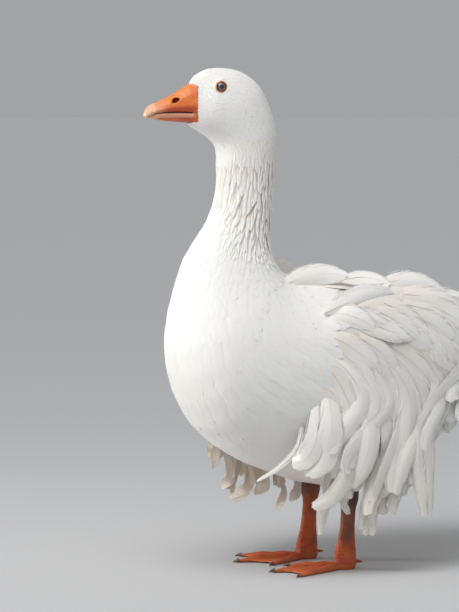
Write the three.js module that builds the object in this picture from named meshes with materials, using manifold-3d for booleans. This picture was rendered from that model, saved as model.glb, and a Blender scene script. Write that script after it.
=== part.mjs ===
// A standing domestic goose of the loose-feathered kind, life size, in millimetres.
// The bird faces -Y, its left side is +X, and its soles rest on z = 0. It is modelled with the
// ankles near y = 0, and at the end it is moved so that the origin lies under the middle of its
// box. Every piece is a closed solid of its own, with a gap wherever two of them meet.
import * as THREE from "three";
import { mergeVertices } from "three/addons/utils/BufferGeometryUtils.js";
import Module from "manifold-3d";

const wasm = await Module();
wasm.setup();

// Driving dimensions
const gap = 0.3; // left between neighbours
const neckY = -121; // the neck's upright axis
const headTurn = 15; // degrees the head looks to the bird's right
const turnFrom = 440; // heights between which the neck takes up that turn
const turnTo = 540;
const eye = { radius: 7.4, forward: 37.5, height: 606, side: 20.6 };
const legSide = 46; // from the middle plane to the middle of a leg
const toesOut = { left: -12, right: 9 }; // degrees that each foot is turned outwards
const bodySides = 24; // facets round the trunk
const neckSides = 18;
const headSides = 18;
const billSides = 12;
const thighSides = 14;
const shankSides = 12;

// Sections through the bird, from the rump to the forehead. back and front are the two ends of
// a section in the middle plane, as [y, z]; half is its half width, widest says where along the
// way from front to back that lies, and square is the exponent of its outline (2 is an ellipse).
const sections = [
  { at: "rump end", back: [240, 304], front: [222, 236], half: 34, widest: 0.5, square: 2 },
  { at: "rump", back: [194, 334], front: [168, 172], half: 76, widest: 0.52, square: 2.1 },
  { at: "abdomen", back: [134, 352], front: [108, 126], half: 105, widest: 0.53, square: 2.2 },
  { at: "loin", back: [68, 362], front: [46, 103], half: 122, widest: 0.53, square: 2.25 },
  { at: "belly", back: [8, 368], front: [-20, 102], half: 127, widest: 0.53, square: 2.25 },
  { at: "keel", back: [-34, 371], front: [-80, 120], half: 124, widest: 0.54, square: 2.2 },
  { at: "shoulder", back: [-57, 372], front: [-136, 144], half: 117, widest: 0.54, square: 2.15 },
  { at: "breast", back: [-69, 374], front: [-185, 182], half: 108, widest: 0.5, square: 2.1 },
  { at: "breast front", back: [-79, 379], front: [-212, 231], half: 99, widest: 0.46, square: 2 },
  { at: "crop", back: [-87, 386], front: [-222, 285], half: 86, widest: 0.45, square: 2 },
  { at: "neck root", back: [-91, 398], front: [-217, 341], half: 67, widest: 0.46, square: 2 },
  { at: "neck base", back: [-91, 419], front: [-202, 397], half: 49, widest: 0.48, square: 2 },
  { at: "low neck", back: [-87, 446], front: [-173, 439], half: 40, widest: 0.5, square: 2 },
  { at: "mid neck", back: [-84, 478], front: [-161, 478], half: 36.5, widest: 0.5, square: 2 },
  { at: "high neck", back: [-81, 512], front: [-160, 510], half: 35, widest: 0.5, square: 2 },
  { at: "throat", back: [-80, 541], front: [-159.5, 527], half: 34, widest: 0.5, square: 2 },
  { at: "nape", back: [-84.5, 566], front: [-162, 535], half: 33.5, widest: 0.48, square: 2 },
  { at: "hind crown", back: [-93, 589.5], front: [-167, 540], half: 33.5, widest: 0.46, square: 2.05 },
  { at: "cheek", back: [-105.5, 611], front: [-173, 545], half: 33, widest: 0.44, square: 2.1 },
  { at: "crown", back: [-129, 626.5], front: [-180, 549], half: 31, widest: 0.42, square: 2.1 },
  { at: "eye", back: [-155, 630.5], front: [-186, 553], half: 26, widest: 0.42, square: 2.15 },
  { at: "brow", back: [-175, 628], front: [-192, 556], half: 15.5, widest: 0.42, square: 2.2 },
  { at: "forehead", back: [-189, 619], front: [-198, 559], half: 12.5, widest: 0.42, square: 2.2 },
  { at: "bill root", back: [-197, 607], front: [-203, 561.5], half: 9, widest: 0.42, square: 2.2 },
];
const neckStart = 10.9; // section numbers where the body is parted
const neckEnd = 15.1;

// Solids
const solidOf = (geometry) => {
  const bare = geometry.clone();
  bare.deleteAttribute("normal");
  bare.deleteAttribute("uv");
  const merged = mergeVertices(bare, 1e-4);
  return new wasm.Manifold(
    new wasm.Mesh({
      numProp: 3,
      vertProperties: merged.attributes.position.array,
      triVerts: new Uint32Array(merged.index.array),
    }),
  );
};

const largestOf = (solid) =>
  solid.decompose().reduce((best, piece) => (piece.volume() > best.volume() ? piece : best));

const joined = (solids) => solids.reduce((all, next) => all.add(next));

// A closed skin over rings of points that all have the same number of points. The rings run
// along the piece, and each turns anticlockwise as seen from its far end.
const skinOver = (rings) => {
  const sides = rings[0].length;
  const points = rings.flat();
  const faces = [];
  for (let i = 0; i + 1 < rings.length; i++) {
    for (let k = 0; k < sides; k++) {
      const a = i * sides + k;
      const b = i * sides + ((k + 1) % sides);
      faces.push(a, b, b + sides, a, b + sides, a + sides);
    }
  }
  const centreOf = (ring) =>
    ring.reduce((sum, p) => sum.add(p), new THREE.Vector3()).divideScalar(sides);
  const start = points.push(centreOf(rings[0])) - 1;
  const end = points.push(centreOf(rings[rings.length - 1])) - 1;
  const last = (rings.length - 1) * sides;
  for (let k = 0; k < sides; k++) {
    const next = (k + 1) % sides;
    faces.push(start, next, k, end, last + k, last + next);
  }
  const geometry = new THREE.BufferGeometry().setFromPoints(points);
  geometry.setIndex(faces);
  const solid = solidOf(geometry);
  return solid.volume() < 0 ? solidOf(turnedOut(geometry)) : solid;
};

const turnedOut = (geometry) => {
  const faces = [...geometry.index.array];
  for (let i = 0; i < faces.length; i += 3) {
    [faces[i + 1], faces[i + 2]] = [faces[i + 2], faces[i + 1]];
  }
  return geometry.clone().setIndex(faces);
};

const mirrored = (solid) => {
  const mesh = solid.getMesh();
  const stride = mesh.numProp;
  const points = [];
  for (let i = 0; i < mesh.numVert; i++) {
    points.push(
      -mesh.vertProperties[i * stride],
      mesh.vertProperties[i * stride + 1],
      mesh.vertProperties[i * stride + 2],
    );
  }
  const geometry = new THREE.BufferGeometry();
  geometry.setAttribute("position", new THREE.Float32BufferAttribute(points, 3));
  geometry.setIndex([...mesh.triVerts]);
  return solidOf(turnedOut(geometry));
};

const block = (low, high) => {
  const size = high.clone().sub(low);
  const geometry = new THREE.BoxGeometry(size.x, size.y, size.z);
  const middle = low.clone().add(high).divideScalar(2);
  return solidOf(geometry.translate(middle.x, middle.y, middle.z));
};
const underFloor = block(new THREE.Vector3(-500, -500, -200), new THREE.Vector3(500, 500, 0));

const v3 = (x, y, z) => new THREE.Vector3(x, y, z);
const radians = THREE.MathUtils.degToRad;

// The head's turn, taken up along the neck
const turned = (p) => {
  const share = THREE.MathUtils.smoothstep(p.z, turnFrom, turnTo);
  const angle = -radians(headTurn) * share;
  const y = p.y - neckY;
  return v3(
    p.x * Math.cos(angle) - y * Math.sin(angle),
    neckY + p.x * Math.sin(angle) + y * Math.cos(angle),
    p.z,
  );
};

// The body's outline as smooth curves through the sections
const curveOf = (pick) => new THREE.CatmullRomCurve3(sections.map(pick), false, "centripetal");
const backLine = curveOf((s) => v3(0, ...s.back));
const frontLine = curveOf((s) => v3(0, ...s.front));
const girth = curveOf((s) => v3(s.half, s.widest * 100, s.square * 50));
const bent = (c, square) => Math.sign(c) * Math.abs(c) ** (2 / square);

// A point on the body. at is a section number, angle runs from the back (0) by the left side
// (90) to the front (180), and lift is how far outside the surface the point lies.
const onBody = (at, angle, lift = 0) => {
  const t = at / (sections.length - 1);
  const back = backLine.getPoint(t);
  const front = frontLine.getPoint(t);
  const size = girth.getPoint(t);
  const square = size.z / 50;
  const middle = front.clone().lerp(back, size.y / 100);
  const rise = back.clone().sub(middle);
  const fall = middle.clone().sub(front);
  const up = bent(Math.cos(radians(angle)), square);
  const out = bent(Math.sin(radians(angle)), square);
  const reach = up > 0 ? rise : fall;
  const length = Math.max(reach.length(), 1);
  return middle
    .addScaledVector(reach, up * (1 + lift / length))
    .add(v3(out * (size.x + lift), 0, 0));
};

const ringAt = (at, sides, lift) =>
  Array.from({ length: sides }, (_, k) => turned(onBody(at, (360 * k) / sides, lift)));

// One stretch of the body, with so many rings to a section
const stretch = (from, to, perSection, sides, lift = 0) => {
  const count = Math.max(2, Math.round((to - from) * perSection));
  const rings = [];
  for (let i = 0; i <= count; i++) {
    rings.push(ringAt(from + ((to - from) * i) / count, sides, lift));
  }
  return skinOver(rings);
};

// Trunk, neck and head, parted at two sections
const seam = 0.012; // of a section, which is gap or more everywhere round it
const trunkWhole = stretch(0, neckStart - seam, 1.6, bodySides);
const trunkKeepOut = stretch(0, neckStart - seam, 1.6, bodySides, gap + 0.15);
const neck = stretch(neckStart + seam, neckEnd - seam, 2, neckSides);
const headWhole = stretch(neckEnd + seam, sections.length - 1, 1.5, headSides);

// Bill: two lofts along the head's own forward axis. Each ring is a section across the bill.
// over and under are the powers that square off its upper and lower halves, level is where its
// widest line lies, and ridge is how much it narrows towards the top.
const ahead = (forward) => neckY - forward;
const billRing = ({ forward, top, bottom, half }, shape, grow) => {
  return Array.from({ length: billSides }, (_, k) => {
    const angle = (2 * Math.PI * k) / billSides;
    const rise = Math.cos(angle);
    const up = Math.sign(rise) * Math.abs(rise) ** (rise > 0 ? shape.over : shape.under);
    const level = bottom + (top - bottom) * shape.level;
    const reach = up > 0 ? top - level : level - bottom;
    const narrow = 1 - (rise > 0 ? shape.ridge : shape.floor) * rise ** 2;
    const across = Math.sin(angle) * (half + grow) * narrow;
    return turned(v3(across, ahead(forward), level + (reach + grow) * up));
  });
};
const upperShape = { over: 1, under: 0.35, level: 0.26, ridge: 0.42, floor: 0.1 };
const lowerShape = { over: 0.35, under: 0.8, level: 0.7, ridge: 0.05, floor: 0.1 };
const upperBill = [
  { at: "root", forward: 57, top: 610, bottom: 574, half: 16.4 },
  { at: "cheek", forward: 64, top: 611, bottom: 572.6, half: 16.6 },
  { at: "brow", forward: 73, top: 609.8, bottom: 573, half: 15.8 },
  { at: "nostril back", forward: 83, top: 602.8, bottom: 574, half: 14.8 },
  { at: "nostril", forward: 93, top: 597, bottom: 574.4, half: 13.9 },
  { at: "mid", forward: 103, top: 592, bottom: 574.2, half: 13 },
  { at: "nail root", forward: 114, top: 587.2, bottom: 572.8, half: 11.6 },
  { at: "nail", forward: 122, top: 583.4, bottom: 570.6, half: 9.6 },
  { at: "nail end", forward: 127, top: 579.2, bottom: 568.2, half: 6.6 },
  { at: "tip", forward: 129.4, top: 573.2, bottom: 568.4, half: 2.8 },
];
const lowerBill = [
  { at: "root", forward: 55, top: 572, bottom: 560.6, half: 14.8 },
  { at: "cheek", forward: 64, top: 574, bottom: 560.8, half: 15 },
  { at: "back", forward: 83, top: 575.4, bottom: 562.2, half: 13.2 },
  { at: "mid", forward: 103, top: 575.4, bottom: 563.8, half: 11.2 },
  { at: "front", forward: 115, top: 573.6, bottom: 565.6, half: 9 },
  { at: "tip", forward: 123.6, top: 570.8, bottom: 566.8, half: 5.4 },
];
const billOf = (rows, shape, grow = 0) => skinOver(rows.map((row) => billRing(row, shape, grow)));

const nostril = { deep: 3, long: 6, high: 2.2, slope: 24, side: 9, forward: 92, height: 590.6 };
const nostrilSolid = (side) =>
  turnedSolid(
    solidOf(
      new THREE.SphereGeometry(1, 8, 6)
        .scale(nostril.deep, nostril.long, nostril.high)
        .rotateX(-radians(nostril.slope))
        .translate(side * nostril.side, ahead(nostril.forward), nostril.height),
    ),
  );
const billUpper = billOf(upperBill, upperShape)
  .subtract(nostrilSolid(1))
  .subtract(nostrilSolid(-1));
const upperKeepOut = billOf(upperBill, upperShape, gap);
const lowerKeepOut = billOf(lowerBill, lowerShape, gap);
const billLower = largestOf(billOf(lowerBill, lowerShape).subtract(upperKeepOut));

// A solid built straight, turned with the head
function turnedSolid(solid) {
  const mesh = solid.getMesh();
  const points = [];
  for (let i = 0; i < mesh.numVert; i++) {
    points.push(turned(v3().fromArray(mesh.vertProperties, i * mesh.numProp)));
  }
  const geometry = new THREE.BufferGeometry().setFromPoints(points);
  return solidOf(geometry.setIndex([...mesh.triVerts]));
}

const eyeball = (side, radius) =>
  turnedSolid(
    solidOf(
      new THREE.SphereGeometry(radius, 10, 7)
        .rotateZ(Math.PI / 2)
        .translate(side * eye.side, ahead(eye.forward), eye.height),
    ),
  );
const head = largestOf(
  headWhole
    .subtract(upperKeepOut)
    .subtract(lowerKeepOut)
    .subtract(eyeball(1, eye.radius + gap))
    .subtract(eyeball(-1, eye.radius + gap)),
);

// Legs: a feathered thigh, a bare shank, and a webbed foot of three toes and a spur behind
const tube = (stops, sides, grow = 0) =>
  skinOver(
    stops.map((s) =>
      Array.from({ length: sides }, (_, k) => {
        const angle = (2 * Math.PI * k) / sides;
        return v3(
          s.x + (s.wide + grow) * Math.cos(angle),
          s.y + (s.deep + grow) * Math.sin(angle),
          s.z,
        );
      }),
    ),
  );
// Each stop is a level oval section: its middle, and its half width and half depth
const thighStops = (grow) => [
  { x: legSide - 4, y: 34, z: 182, wide: 38, deep: 58 },
  { x: legSide - 2, y: 26, z: 152, wide: 32, deep: 46 },
  { x: legSide, y: 15, z: 124, wide: 23, deep: 29 },
  { x: legSide, y: 7, z: 106, wide: 16, deep: 18 },
  { x: legSide, y: 4, z: 94 - grow, wide: 10, deep: 12.5 },
];
const shankStops = (grow) => [
  { x: legSide, y: 4, z: 108 + grow, wide: 6, deep: 7.5 },
  { x: legSide, y: 4, z: 99, wide: 8, deep: 10.8 },
  { x: legSide, y: 3.4, z: 88, wide: 8, deep: 11.2 },
  { x: legSide, y: 2.4, z: 74, wide: 6.8, deep: 10.2 },
  { x: legSide, y: 1, z: 54, wide: 6.8, deep: 10.6 },
  { x: legSide, y: -0.6, z: 36, wide: 7.6, deep: 12.4 },
  { x: legSide, y: -2, z: 22, wide: 9.4, deep: 15 },
  { x: legSide, y: -2.4, z: 13 + gap, wide: 10.4, deep: 15.6 },
];

const toeNames = ["inner", "middle", "outer"];
const toes = {
  inner: { spread: -33, length: 67, thick: 6 },
  middle: { spread: 0, length: 88, thick: 6.8 },
  outer: { spread: 31, length: 80, thick: 6.2 },
};
const toeRoot = 8; // the toes fan out from a point this far ahead of the ankle
const toeSteps = 6;
const web = { thick: 2.6, level: 1.2, reach: 0.93, dip: 0.8 };
const claw = { length: 9, blunt: 0.5, droop: 2 };

// A toe from its root to its last pad, swelling at each of its joints. It is sunk a little, so
// that the floor cuts a flat sole on it.
const toeSolid = ({ length, thick }, steps) => {
  const joints = 3;
  const taper = 0.42;
  const sunk = 0.22;
  const rings = [];
  for (let i = 0; i <= steps; i++) {
    const share = i / steps;
    const swell = 1 + 0.1 * Math.cos(share * 2 * Math.PI * joints);
    const blunt = i === steps ? 0.6 : 1;
    const radius = thick * (1 - taper * share) * swell * blunt;
    const ring = Array.from({ length: 6 }, (_, k) => {
      const angle = (2 * Math.PI * k) / 6 + Math.PI / 2;
      return v3(
        radius * Math.cos(angle) * 0.92,
        -share * length,
        radius * (1 - sunk) + radius * Math.sin(angle),
      );
    });
    rings.push(ring);
  }
  return skinOver(rings);
};

// The claw beyond a toe's end
const clawSolid = ({ length, thick }) =>
  skinOver(
    [0, 0.5, 1].map((share) => {
      const radius = thick * 0.42 * (1 - share) + claw.blunt;
      return Array.from({ length: 6 }, (_, k) => {
        const angle = (2 * Math.PI * k) / 6;
        return v3(
          radius * Math.cos(angle),
          -length - gap - share * claw.length,
          thick * 0.5 - share * share * claw.droop + radius * Math.sin(angle),
        );
      });
    }),
  );

const placedSolid = (solid, matrix) => {
  const mesh = solid.getMesh();
  const points = [];
  for (let i = 0; i < mesh.numVert; i++) {
    points.push(v3().fromArray(mesh.vertProperties, i * mesh.numProp).applyMatrix4(matrix));
  }
  const geometry = new THREE.BufferGeometry().setFromPoints(points);
  return solidOf(geometry.setIndex([...mesh.triVerts]));
};

// side is 1 for the left foot and -1 for the right. A toe's spread adds to the foot's own turn.
const footFrame = (side, heading, spread) =>
  new THREE.Matrix4()
    .makeTranslation(side * legSide, -toeRoot, 0)
    .multiply(new THREE.Matrix4().makeRotationZ(side * radians(heading + spread)));

// The web: from the ankle to near each toe's end, dipping in between them
const webSolid = () => {
  const heel = 10;
  const origin = new THREE.Vector2();
  const corners = toeNames.map((name) =>
    new THREE.Vector2(0, -toes[name].length * web.reach).rotateAround(origin, radians(toes[name].spread)),
  );
  const outline = new THREE.Shape();
  outline.moveTo(0, heel);
  outline.lineTo(corners[0].x, corners[0].y);
  for (let i = 0; i < 2; i++) {
    const to = corners[i + 1];
    const dip = corners[i].clone().add(to).multiplyScalar(0.5 * web.dip);
    outline.quadraticCurveTo(dip.x, dip.y, to.x, to.y);
  }
  outline.lineTo(0, heel);
  const shape = { depth: web.thick, bevelEnabled: false, curveSegments: 3 };
  return solidOf(new THREE.ExtrudeGeometry(outline, shape).translate(0, 0, web.level));
};

const legOf = (side, heading) => {
  const mirror = (solid) => (side > 0 ? solid : mirrored(solid));
  const thigh = mirror(tube(thighStops(0), thighSides));
  const shank = mirror(tube(shankStops(0), shankSides));
  const onToe = (solid, name) => placedSolid(solid, footFrame(side, heading, toes[name].spread));
  const onFoot = (solid) => placedSolid(solid, footFrame(side, heading, 0));
  const foot = joined([
    ...toeNames.map((name) => onToe(toeSolid(toes[name], toeSteps), name)),
    onFoot(mirror(webSolid())),
    onFoot(ankleSolid()),
    onFoot(spurSolid()),
  ])
    .subtract(underFloor)
    .subtract(mirror(tube(shankStops(0), shankSides, gap)));
  const clawOf = (name) => onToe(clawSolid(toes[name]), name);
  const claws = Object.fromEntries(toeNames.map((name) => [name, clawOf(name)]));
  return { thigh, shank, foot, claws };
};

// The knuckle that the toes grow from, and the small raised hind toe
const ankleSolid = () =>
  tube(
    [
      { x: 0, y: 6, z: -1, wide: 9, deep: 12 },
      { x: 0, y: 5, z: 5, wide: 11, deep: 16 },
      { x: 0, y: 4.6, z: 13, wide: 10.4, deep: 15.6 },
    ],
    8,
  );
const spurSolid = () => {
  const backwards = new THREE.Matrix4().makeRotationZ(Math.PI);
  const place = new THREE.Matrix4().makeTranslation(-5, 14, 6).multiply(backwards);
  return placedSolid(toeSolid({ length: 17, thick: 4 }, 2), place);
};

const legs = { left: legOf(1, toesOut.left), right: legOf(-1, toesOut.right) };
const bothSides = (solid) => joined([solid, mirrored(solid)]);
const clear = gap + 0.1;
const thighKeepOut = bothSides(tube(thighStops(gap), thighSides, clear));
const shankKeepOut = bothSides(tube(shankStops(gap), shankSides, clear));

// A repeatable wobble from -1 to 1, so that no two plumes are alike
const wobble = (n) => (Math.sin(n * 127.1 + 11.7) * 43758.5453) % 1;

const between = ([first, middle, last], share) =>
  share < 0.5
    ? first + (middle - first) * share * 2
    : middle + (last - middle) * (share * 2 - 1);

// A broad loose feather, or a lock of them, as a thick curved blade with a rounded tip. Its
// section is a low ridge above and a shallow keel below, as shares of its half width and of its
// thickness.
const bladeSection = [
  [1, -0.5],
  [0, 0.9],
  [-1, -0.5],
  [0, -1.1],
];
const bladeAlong = (path, steps, wideMost, thickMost, outward) => {
  const rings = [];
  for (let i = 0; i <= steps; i++) {
    const share = i / steps;
    const here = path.getPointAt(share);
    const along = path.getTangentAt(share);
    const across = new THREE.Vector3().crossVectors(along, outward(here)).normalize();
    const up = new THREE.Vector3().crossVectors(across, along).normalize();
    const swell = Math.sin(Math.PI * (0.2 + 0.77 * share)) ** 0.6;
    const wide = wideMost * swell;
    const thick = thickMost * swell;
    rings.push(
      bladeSection.map(([a, b]) =>
        here.clone().addScaledVector(across, a * wide).addScaledVector(up, b * thick),
      ),
    );
  }
  return skinOver(rings);
};

// A wing plume starts just under the surface, follows the body down and back, and then hangs
// by its own weight
const rootDepth = 4;
const plumePath = (p) => {
  const points = [0, 0.35, 0.7, 1].map((share) => {
    const lift = (p.lift + rootDepth) * share ** 0.7 - rootDepth;
    return onBody(p.at - p.reach * share, p.angle + p.turn * share, lift);
  });
  if (p.fall > 0) {
    const end = points[3];
    points.push(v3(end.x + p.flare * 0.7, end.y + p.drift * 0.4, end.z - p.fall * 0.5));
    points.push(v3(end.x + p.flare, end.y + p.drift, end.z - p.fall));
  }
  return new THREE.CatmullRomCurve3(points, false, "centripetal");
};
const bodyAxis = 250; // height of the trunk's long axis
const fromBody = (here) => v3(here.x, 0, (here.z - bodyAxis) * 0.8);

// Rows of plumes over one wing, each from the front of the wing to its back. A plume starts at
// a section number and an angle round the body, runs back by its reach and down by its turn,
// and then hangs by its fall, with a drift along Y and a flare along X. Numbers in threes are
// for the front, the middle and the back of the row.
const wingRows = [
  {
    row: "mantle", count: 4, at: [5, 3.1, 1.5], angle: 10, turn: 6, reach: 1.25,
    lift: [11, 4, 12], wide: 32, thick: 6,
  },
  {
    row: "scapulars", count: 4, at: [5.3, 3.4, 1.5], angle: 28, turn: 11, reach: 1.2,
    lift: [15, 10, 11], wide: 31, thick: 6,
  },
  {
    row: "lesser coverts", count: 4, at: [5.45, 3.5, 1.7], angle: 47, turn: 15, reach: 1.2,
    lift: [16, 17, 15], wide: 30, thick: 6,
  },
  {
    row: "median coverts", count: 5, at: [5.5, 3.6, 1.8], angle: 66, turn: 17, reach: 1,
    lift: [19, 22, 19], wide: 31, thick: 6,
  },
  {
    row: "long coverts", count: 6, at: [5.45, 3.6, 1.9], angle: 83, turn: 14, reach: 0.55,
    lift: [20, 24, 20], wide: 28, thick: 6,
    fall: [50, 100, 34], drift: [-12, 4, 24], flare: [-6, 4, 0],
  },
  {
    row: "fringe", count: 7, at: [5.4, 4.35, 3.1], angle: 92, turn: 16, reach: 0.3,
    lift: [15, 17, 16], wide: 22, thick: 6,
    fall: [72, 146, 126], drift: [-34, -8, 10], flare: [-20, 2, 4],
  },
];
// How far the foremost plumes curl forwards on each side, and how low its fringe hangs
const hang = { left: { sweep: 1.5, drop: 0.96 }, right: { sweep: 0.9, drop: 0.84 } };

const plume = (p) => bladeAlong(plumePath(p), p.fall > 0 ? 4 : 3, p.wide, p.thick, fromBody);

const wingPlumes = (seed, { sweep, drop }) =>
  wingRows.flatMap((r, row) =>
    Array.from({ length: r.count }, (_, i) => {
      const share = i / (r.count - 1);
      const n = seed + row * 31 + i * 7;
      return {
        ...r,
        at: between(r.at, share),
        angle: r.angle + 2.5 * wobble(n),
        reach: r.reach * (1 + 0.12 * wobble(n + 1)),
        lift: between(r.lift, share) * (1 + 0.16 * wobble(n + 2)),
        wide: r.wide * (1 + 0.12 * wobble(n + 3)),
        fall: r.fall ? between(r.fall, share) * drop * (1 + 0.08 * wobble(n + 4)) : 0,
        drift: r.fall ? between(r.drift, share) * (share < 0.5 ? sweep : 1) + 5 * wobble(n + 5) : 0,
        flare: r.fall ? between(r.flare, share) + 4 * wobble(n + 6) : 0,
      };
    }),
  );

// The folded wing under its plumes: a pad that lies over the side of the body, thin along its
// upper and lower edges
const pad = { front: 5.45, back: 1.5, thick: 18, sunk: 3, edge: 0.4, depth: 25 };
const padAngles = { outer: [17, 33, 51, 70, 89], upper: 4, lower: 107, inner: [80, 25] };
const padRing = (share) => {
  const at = pad.front + (pad.back - pad.front) * share;
  const lift = pad.thick * Math.sin(Math.PI * (0.04 + 0.92 * share)) ** 0.6 - pad.sunk;
  return [
    onBody(at, padAngles.upper, lift * pad.edge),
    ...padAngles.outer.map((angle) => onBody(at, angle, lift)),
    onBody(at, padAngles.lower, lift * pad.edge),
    ...padAngles.inner.map((angle) => onBody(at, angle, -pad.depth)),
  ];
};
const wingPad = () => skinOver([0, 0.14, 0.35, 0.58, 0.8, 1].map(padRing));

const leftSide = block(v3(gap, -500, -50), v3(500, 500, 900));

// The tail: a drooping fan of plumes from under the rump
const fan = { count: 7, wide: 25, thick: 7, droop: 10 };
const tailPlume = (i) => {
  const share = (2 * i) / (fan.count - 1) - 1;
  const droop = fan.droop * share ** 2;
  const end = v3(share * 84, 334 - 34 * share ** 2 + 4 * wobble(i), 246 - 2 * droop + 6 * wobble(i + 9));
  const path = new THREE.CatmullRomCurve3([
    v3(share * 20, 196, 290 - droop),
    v3(share * 50, 262, 287 - droop),
    end,
  ]);
  return bladeAlong(path, 4, fan.wide, fan.thick, () => v3(0, 0, 1));
};
const tailPlumes = Array.from({ length: fan.count }, (_, i) => tailPlume(i));
const tail = largestOf(joined(tailPlumes).subtract(trunkKeepOut));

const wingOf = (side, seed, hanging) => {
  const whole = joined([wingPad(), ...wingPlumes(seed, hanging).map(plume)]).intersect(leftSide);
  const placed = side > 0 ? whole : mirrored(whole);
  return largestOf(
    placed
      .subtract(trunkKeepOut)
      .subtract(thighKeepOut)
      .subtract(shankKeepOut)
      .subtract(tail),
  );
};
const wings = { left: wingOf(1, 3, hang.left), right: wingOf(-1, 40, hang.right) };

// Materials
const material = (color, roughness) =>
  new THREE.MeshStandardMaterial({ color, roughness, metalness: 0 });
const white = material(0xe9e7e2, 0.9);
const cream = material(0xe2dacb, 0.9);
const orange = material(0xe0662a, 0.5);
const horn = material(0xd9b8a0, 0.45);
const iris = material(0x2c3a55, 0.1);

const goose = new THREE.Group();
const place = (name, solid, finish) => {
  const mesh = solid.getMesh();
  const points = [];
  for (let i = 0; i < mesh.numVert; i++) {
    points.push(v3().fromArray(mesh.vertProperties, i * mesh.numProp));
  }
  const geometry = new THREE.BufferGeometry().setFromPoints(points);
  geometry.setIndex([...mesh.triVerts]);
  const piece = new THREE.Mesh(geometry, finish);
  piece.name = name;
  goose.add(piece);
};

place("trunk", largestOf(trunkWhole), white);
place("neck", neck, white);
place("head", head, white);
place("bill_upper", billUpper, orange);
place("bill_lower", billLower, orange);
place("eye_left", eyeball(1, eye.radius), iris);
place("eye_right", eyeball(-1, eye.radius), iris);
place("tail", tail, cream);
for (const side of ["left", "right"]) {
  const { thigh, shank, foot, claws } = legs[side];
  const thighCut = largestOf(thigh.subtract(trunkKeepOut).subtract(shankKeepOut));
  place(`thigh_${side}`, thighCut, white);
  place(`shank_${side}`, largestOf(shank.subtract(trunkKeepOut)), orange);
  place(`foot_${side}`, foot, orange);
  for (const name of toeNames) place(`claw_${side}_${name}`, claws[name], horn);
  place(`wing_${side}`, wings[side], cream);
}

// The origin goes under the middle of the bird's box
const box = new THREE.Box3().setFromObject(goose);
const middle = box.getCenter(v3());
for (const piece of goose.children) piece.position.set(-middle.x, -middle.y, 0);

export default goose;
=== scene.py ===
import math

import bpy
import numpy as np
from mathutils import Matrix, Vector
from mathutils.bvhtree import BVHTree
from mathutils.kdtree import KDTree


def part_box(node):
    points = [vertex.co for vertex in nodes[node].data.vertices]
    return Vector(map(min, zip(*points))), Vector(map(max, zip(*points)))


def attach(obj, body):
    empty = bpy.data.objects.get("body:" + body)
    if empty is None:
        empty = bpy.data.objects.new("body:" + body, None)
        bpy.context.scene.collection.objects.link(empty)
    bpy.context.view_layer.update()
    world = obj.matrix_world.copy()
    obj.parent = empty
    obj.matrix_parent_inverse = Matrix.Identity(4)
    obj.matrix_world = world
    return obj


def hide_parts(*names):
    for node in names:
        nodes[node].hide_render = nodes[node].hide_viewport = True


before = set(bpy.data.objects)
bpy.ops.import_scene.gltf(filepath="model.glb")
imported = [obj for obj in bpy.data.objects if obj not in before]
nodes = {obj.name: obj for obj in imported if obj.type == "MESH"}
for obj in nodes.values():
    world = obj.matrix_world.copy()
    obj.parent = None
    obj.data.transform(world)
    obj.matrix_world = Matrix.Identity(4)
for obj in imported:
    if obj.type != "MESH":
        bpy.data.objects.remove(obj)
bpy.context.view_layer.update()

sides = {"left": 1, "right": -1}
dice = np.random.default_rng(20)


def useOnly(piece):
    bpy.ops.object.select_all(action="DESELECT")
    piece.select_set(True)
    bpy.context.view_layer.objects.active = piece


def applyModifier(piece, kind, **settings):
    useOnly(piece)
    modifier = piece.modifiers.new(kind.lower(), kind)
    for name, value in settings.items():
        setattr(modifier, name, value)
    bpy.ops.object.modifier_apply(modifier=modifier.name)


def joinPieces(pieces, name):
    bpy.ops.object.select_all(action="DESELECT")
    for piece in pieces:
        piece.select_set(True)
    bpy.context.view_layer.objects.active = pieces[0]
    bpy.ops.object.join()
    pieces[0].name = name
    pieces[0].data.name = name
    return pieces[0]


def editAll(piece, action, **settings):
    useOnly(piece)
    bpy.ops.object.mode_set(mode="EDIT")
    bpy.ops.mesh.select_all(action="SELECT")
    action(**settings)
    bpy.ops.object.mode_set(mode="OBJECT")


def copyOfNodes(names, newName):
    copies = []
    for name in names:
        piece = bpy.data.objects.new(newName, nodes[name].data.copy())
        bpy.context.scene.collection.objects.link(piece)
        copies.append(piece)
    piece = joinPieces(copies, newName)
    piece.data.materials.clear()
    editAll(piece, bpy.ops.mesh.remove_doubles, threshold=0.00001)
    return piece


def turnOutward(piece):
    editAll(piece, bpy.ops.mesh.normals_make_consistent, inside=False)


def shadeSmooth(piece):
    useOnly(piece)
    bpy.ops.object.shade_smooth()


def pointsOf(piece):
    flat = np.empty(len(piece.data.vertices) * 3)
    piece.data.vertices.foreach_get("co", flat)
    return flat.reshape(-1, 3)


def movePoints(piece, points):
    piece.data.vertices.foreach_set("co", points.ravel())
    piece.data.update()


def normalsOf(piece):
    flat = np.empty(len(piece.data.vertices) * 3)
    piece.data.vertices.foreach_get("normal", flat)
    return flat.reshape(-1, 3)


def addAttribute(piece, name, values, kind="FLOAT"):
    attribute = piece.data.attributes.new(name, kind, "POINT")
    key = "vector" if kind == "FLOAT_VECTOR" else "value"
    attribute.data.foreach_set(key, np.asarray(values, np.float32).ravel())


def treeOf(piece):
    return BVHTree.FromObject(piece, bpy.context.evaluated_depsgraph_get())


def unit(vectors):
    return vectors / np.maximum(np.linalg.norm(vectors, axis=-1, keepdims=True), 1e-9)


def dot(a, b):
    return (a * b).sum(-1, keepdims=True)


def smoothStep(low, high, value):
    share = np.clip((value - low) / (high - low), 0, 1)
    return share * share * (3 - 2 * share)


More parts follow.
